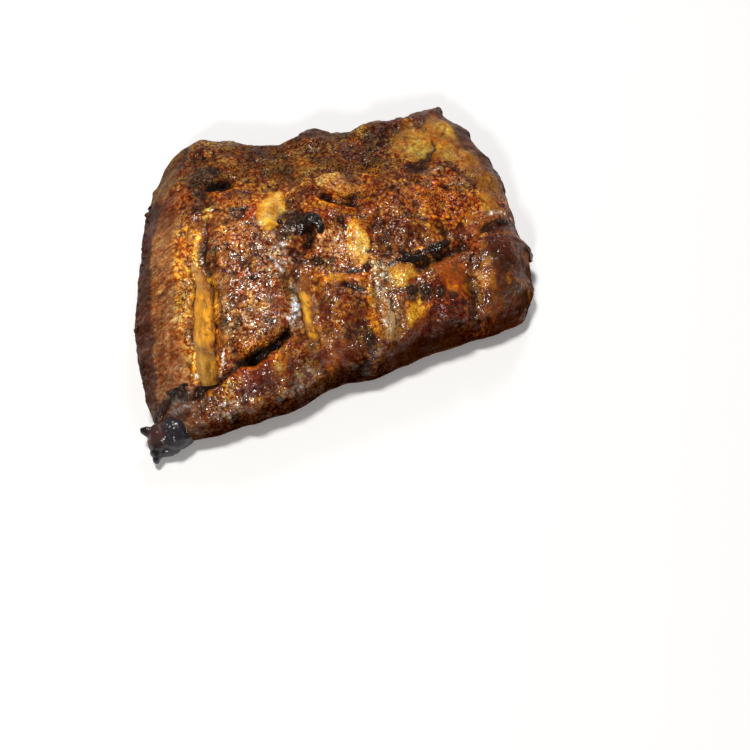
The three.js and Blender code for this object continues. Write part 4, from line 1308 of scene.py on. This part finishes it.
class Look:  # a material with one shader; most of its methods add a node and give what it gives
    def __init__(self, name, **values):
        self.material = bpy.data.materials.new(name)
        self.material.use_nodes = True
        self.tree = self.material.node_tree
        self.tree.nodes.clear()
        self.shader = self.add("BsdfPrincipled", **values)
        self.add("OutputMaterial", Surface=Signal(self, self.shader.outputs[0]))
        self.place = Signal(self, self.add("TexCoord").outputs["Object"])

    def feed(self, node, key, value):
        if isinstance(value, Signal):
            self.tree.links.new(value.socket, node.inputs[key])
        elif isinstance(key, int) or key in node.inputs:
            node.inputs[key].default_value = value
        else:
            setattr(node, key, value)

    def add(self, kind, **values):
        node = self.tree.nodes.new("ShaderNode" + kind)
        for key, value in values.items():
            self.feed(node, key, value)
        return node

    def result(self, node, output=0):
        return Signal(self, node.outputs[output])

    def maths(self, operation, a, b):
        node = self.add("Math", operation=operation)
        self.feed(node, 0, a)
        self.feed(node, 1, b)
        return self.result(node)

    def vector(self, operation, a, b):
        node = self.add("VectorMath", operation=operation)
        self.feed(node, 0, a)
        self.feed(node, "Scale" if operation == "SCALE" else 1, b)
        return self.result(node)

    def attribute(self, name, kind="Fac"):
        return self.result(self.add("Attribute", attribute_name=name), kind)

    def noise(self, place, scale, detail, output="Fac", roughness=0.5):
        node = self.add("TexNoise", Vector=place, Scale=scale, Detail=detail, Roughness=roughness)
        return self.result(node, output)

    def grain(self, scale, detail=2.0):
        return self.noise(self.place, scale, detail, roughness=0.55)

    def granules(self, place, scale):  # how high rounded granules stand, and a colour for each
        node = self.add("TexVoronoi", Vector=place, Scale=scale)
        near = self.result(node, "Distance")
        return 1.0 - near * near * 1.9, self.result(node, "Color")

    def ramp(self, value, start, end, low=0.0, high=1.0):
        node = self.add("MapRange")
        for index, given in enumerate((value, start, end, low, high)):
            self.feed(node, index, given)
        return self.result(node)

    def stretched(self, place, **values):
        return self.result(self.add("Mapping", Vector=place, **values))

    def bump(self, height, distance, strength=1.0):
        return self.result(self.add("Bump", Height=height, Distance=distance, Strength=strength))

    def finished(self, sockets):
        for key, value in sockets.items():
            self.feed(self.shader, key, value)
        return self.material


# Shader scales are in granules or waves to the metre.
meatGrain = dict(
    coarse=640, small=1250, sizes=120, warp=330, amount=70, fibre=900, fine=1700, cloudy=150,
    wetPatches=300, film=680,
)


def meatMaterial():
    m = Look("browned_meat", IOR=1.45, **{"Coat Roughness": 0.13, "Coat IOR": 1.75})
    grainy, cut, wet, dull = (m.attribute(name) for name in ("grainy", "cut", "wet", "dull"))
    # Granules of two sizes, their outlines warped, fainter where the surface is smooth.
    warp = m.vector("SUBTRACT", m.noise(m.place, meatGrain["warp"], 2.0, "Color"), (0.5, 0.5, 0.5))
    moved = m.vector("ADD", m.place, m.vector("MULTIPLY", warp, (0.0022, 0.0022, 0.0022)))
    coarse, coarseColour = m.granules(moved, meatGrain["coarse"])
    small, _ = m.granules(moved, meatGrain["small"])
    sizes = m.ramp(m.grain(meatGrain["sizes"]), 0.42, 0.58, 0.25, 0.85)
    amount = (grainy * 0.92 + 0.08) * (m.grain(meatGrain["amount"], 3.0) + 0.45)
    beads = (small + (coarse - small) * sizes - 0.66) * amount
    # Fibres on the cut end, fine grain everywhere, and broad cloudy tones.
    turn = (math.radians(-30), 0, math.radians(12))
    along = m.stretched(moved, Scale=(0.22, 1.0, 1.0), Rotation=turn)
    fibre = cut * (m.noise(along, meatGrain["fibre"], 3.0) - 0.5)
    fine = m.grain(meatGrain["fine"], 1.0) - 0.5
    cloudy = m.grain(meatGrain["cloudy"], 4.0) - 0.5
    # The colour's exponent: lighter on the granules' tops and darker between them, a painted light and
    # shade, with the fibres and broad tones.
    power = beads * 2.4 + fibre * 3.5 + (fine * 1.2 + cloudy * 2.7) + 0.12
    # Each granule has its own hue, and the lighter ones, lit by the painted light, are paler.
    own = m.vector("MULTIPLY", m.vector("SUBTRACT", coarseColour, (0.5, 0.5, 0.5)), (0.26, 0.24, 0.4))
    hue = m.vector("ADD", m.vector("SCALE", own, amount), m.vector("SCALE", (-0.04, 0.58, 1.4), power))
    hue = m.vector("MAXIMUM", m.vector("ADD", hue, (1, 0.99, 1.02)), (0.5, 0.35, 0.12))
    colour = m.vector("MULTIPLY", m.attribute("paint", "Color"), hue)
    # Grease: a patchy wet coat where the meat is wet, next to none on steep or low places.
    patchy = m.grain(meatGrain["wetPatches"], 3.0)
    film = coarse * 0.5 + m.grain(meatGrain["film"], 1.0) * 1.6
    return m.finished({
        "Base Color": m.vector("SCALE", colour, m.maths("POWER", 2.0, power)),
        "Roughness": 0.62 - wet * patchy * 0.6 + dull * 0.3,
        "Coat Weight": wet * m.ramp(patchy, dull * 0.2 + 0.34, dull * 0.12 + 0.52),
        "Specular IOR Level": 0.12 - dull * 0.12,
        "Normal": m.bump(beads + fibre + fine * 0.4, 0.0005),
        "Coat Normal": m.bump(film, 0.00028),
    })


def boneMaterial():
    fixed = {"Roughness": 0.6, "Specular IOR Level": 0.15, "Coat Weight": 0.16, "Coat Roughness": 0.12}
    m = Look("bare_bone", IOR=1.45, **fixed)
    fibre = m.noise(m.stretched(m.place, Scale=(1.0, 0.34, 1.0)), 1500, 3.0)
    bump = m.bump(fibre, 0.0008)
    colour = m.vector("SCALE", m.attribute("paint", "Color"), fibre * 0.6 + 0.7)
    return m.finished({"Base Color": colour, "Normal": bump, "Coat Normal": bump})


def charMaterial():
    m = Look("char", IOR=1.5, Roughness=0.6, **{"Specular IOR Level": 0.05, "Coat Roughness": 0.1})
    bump = m.bump(m.grain(760), 0.0004, 0.8)
    return m.finished({
        "Base Color": m.attribute("paint", "Color"), "Coat Weight": m.attribute("wet") * 0.5 + 0.3,
        "Normal": bump, "Coat Normal": bump,
    })


def dress(piece, material):
    piece.data.materials.clear()
    piece.data.materials.append(material)


meatLook, boneLook, charLook = meatMaterial(), boneMaterial(), charMaterial()
meatPieces = [meatSlab, paleChunk, charredTip, charCrumbs] + charCurls
for piece in meatPieces:
    dress(piece, meatLook if piece in (meatSlab, paleChunk) else charLook)
    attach(piece, "root")
    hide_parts("meat")
for piece, rib in zip(bones, ribs):
    dress(piece, boneLook)
    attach(piece, "root")
    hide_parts(rib["node"])


lampAim = (0, 0, 0.01)


def lamp(name, at, size, power, colour=(1, 1, 1)):
    data = bpy.data.lights.new(name, "AREA")
    data.shape, data.size, data.energy, data.color = "DISK", size, power, colour
    made = bpy.data.objects.new(name, data)
    bpy.context.scene.collection.objects.link(made)
    made.location = at
    made.rotation_euler = (Vector(lampAim) - Vector(at)).to_track_quat("-Z", "Y").to_euler()


lamp("keyLamp", (-0.2, 0.3, 1.3), 0.28, 15, (1, 0.96, 0.89))
lamp("frontLamp", (-0.35, -1.0, 0.75), 0.16, 6.5, (1, 0.95, 0.88))
lamp("rearLamp", (0.35, 1.0, 0.75), 0.25, 3)

world = bpy.data.worlds.new("room")
world.use_nodes = True
world.node_tree.nodes["Background"].inputs["Color"].default_value = (1, 1, 1, 1)
world.node_tree.nodes["Background"].inputs["Strength"].default_value = 0.12
bpy.context.scene.world = world

bm = bmesh.new()
bmesh.ops.create_grid(bm, x_segments=1, y_segments=1, size=3)
floor = addMesh("floor", bm)
dress(floor, Look("pale_floor", Roughness=0.9, **{"Base Color": (0.86, 0.88, 0.92, 1)}).material)

view = dict(azimuth=-10, elevation=60, distance=0.430, target=(0.00998, -0.04711, 0), lens=55.04)
a, e = math.radians(view["azimuth"]), math.radians(view["elevation"])
back = Vector((math.sin(a) * math.cos(e), -math.cos(a) * math.cos(e), math.sin(e)))
data = bpy.data.cameras.new("camera")
data.lens, data.sensor_width, data.clip_start, data.clip_end = view["lens"], 36, 0.01, 20
camera = bpy.data.objects.new("camera", data)
bpy.context.scene.collection.objects.link(camera)
camera.location = Vector(view["target"]) + back * view["distance"]
camera.rotation_euler = back.to_track_quat("Z", "Y").to_euler()
bpy.context.scene.camera = camera
bpy.context.scene.view_settings.view_transform = "Standard"
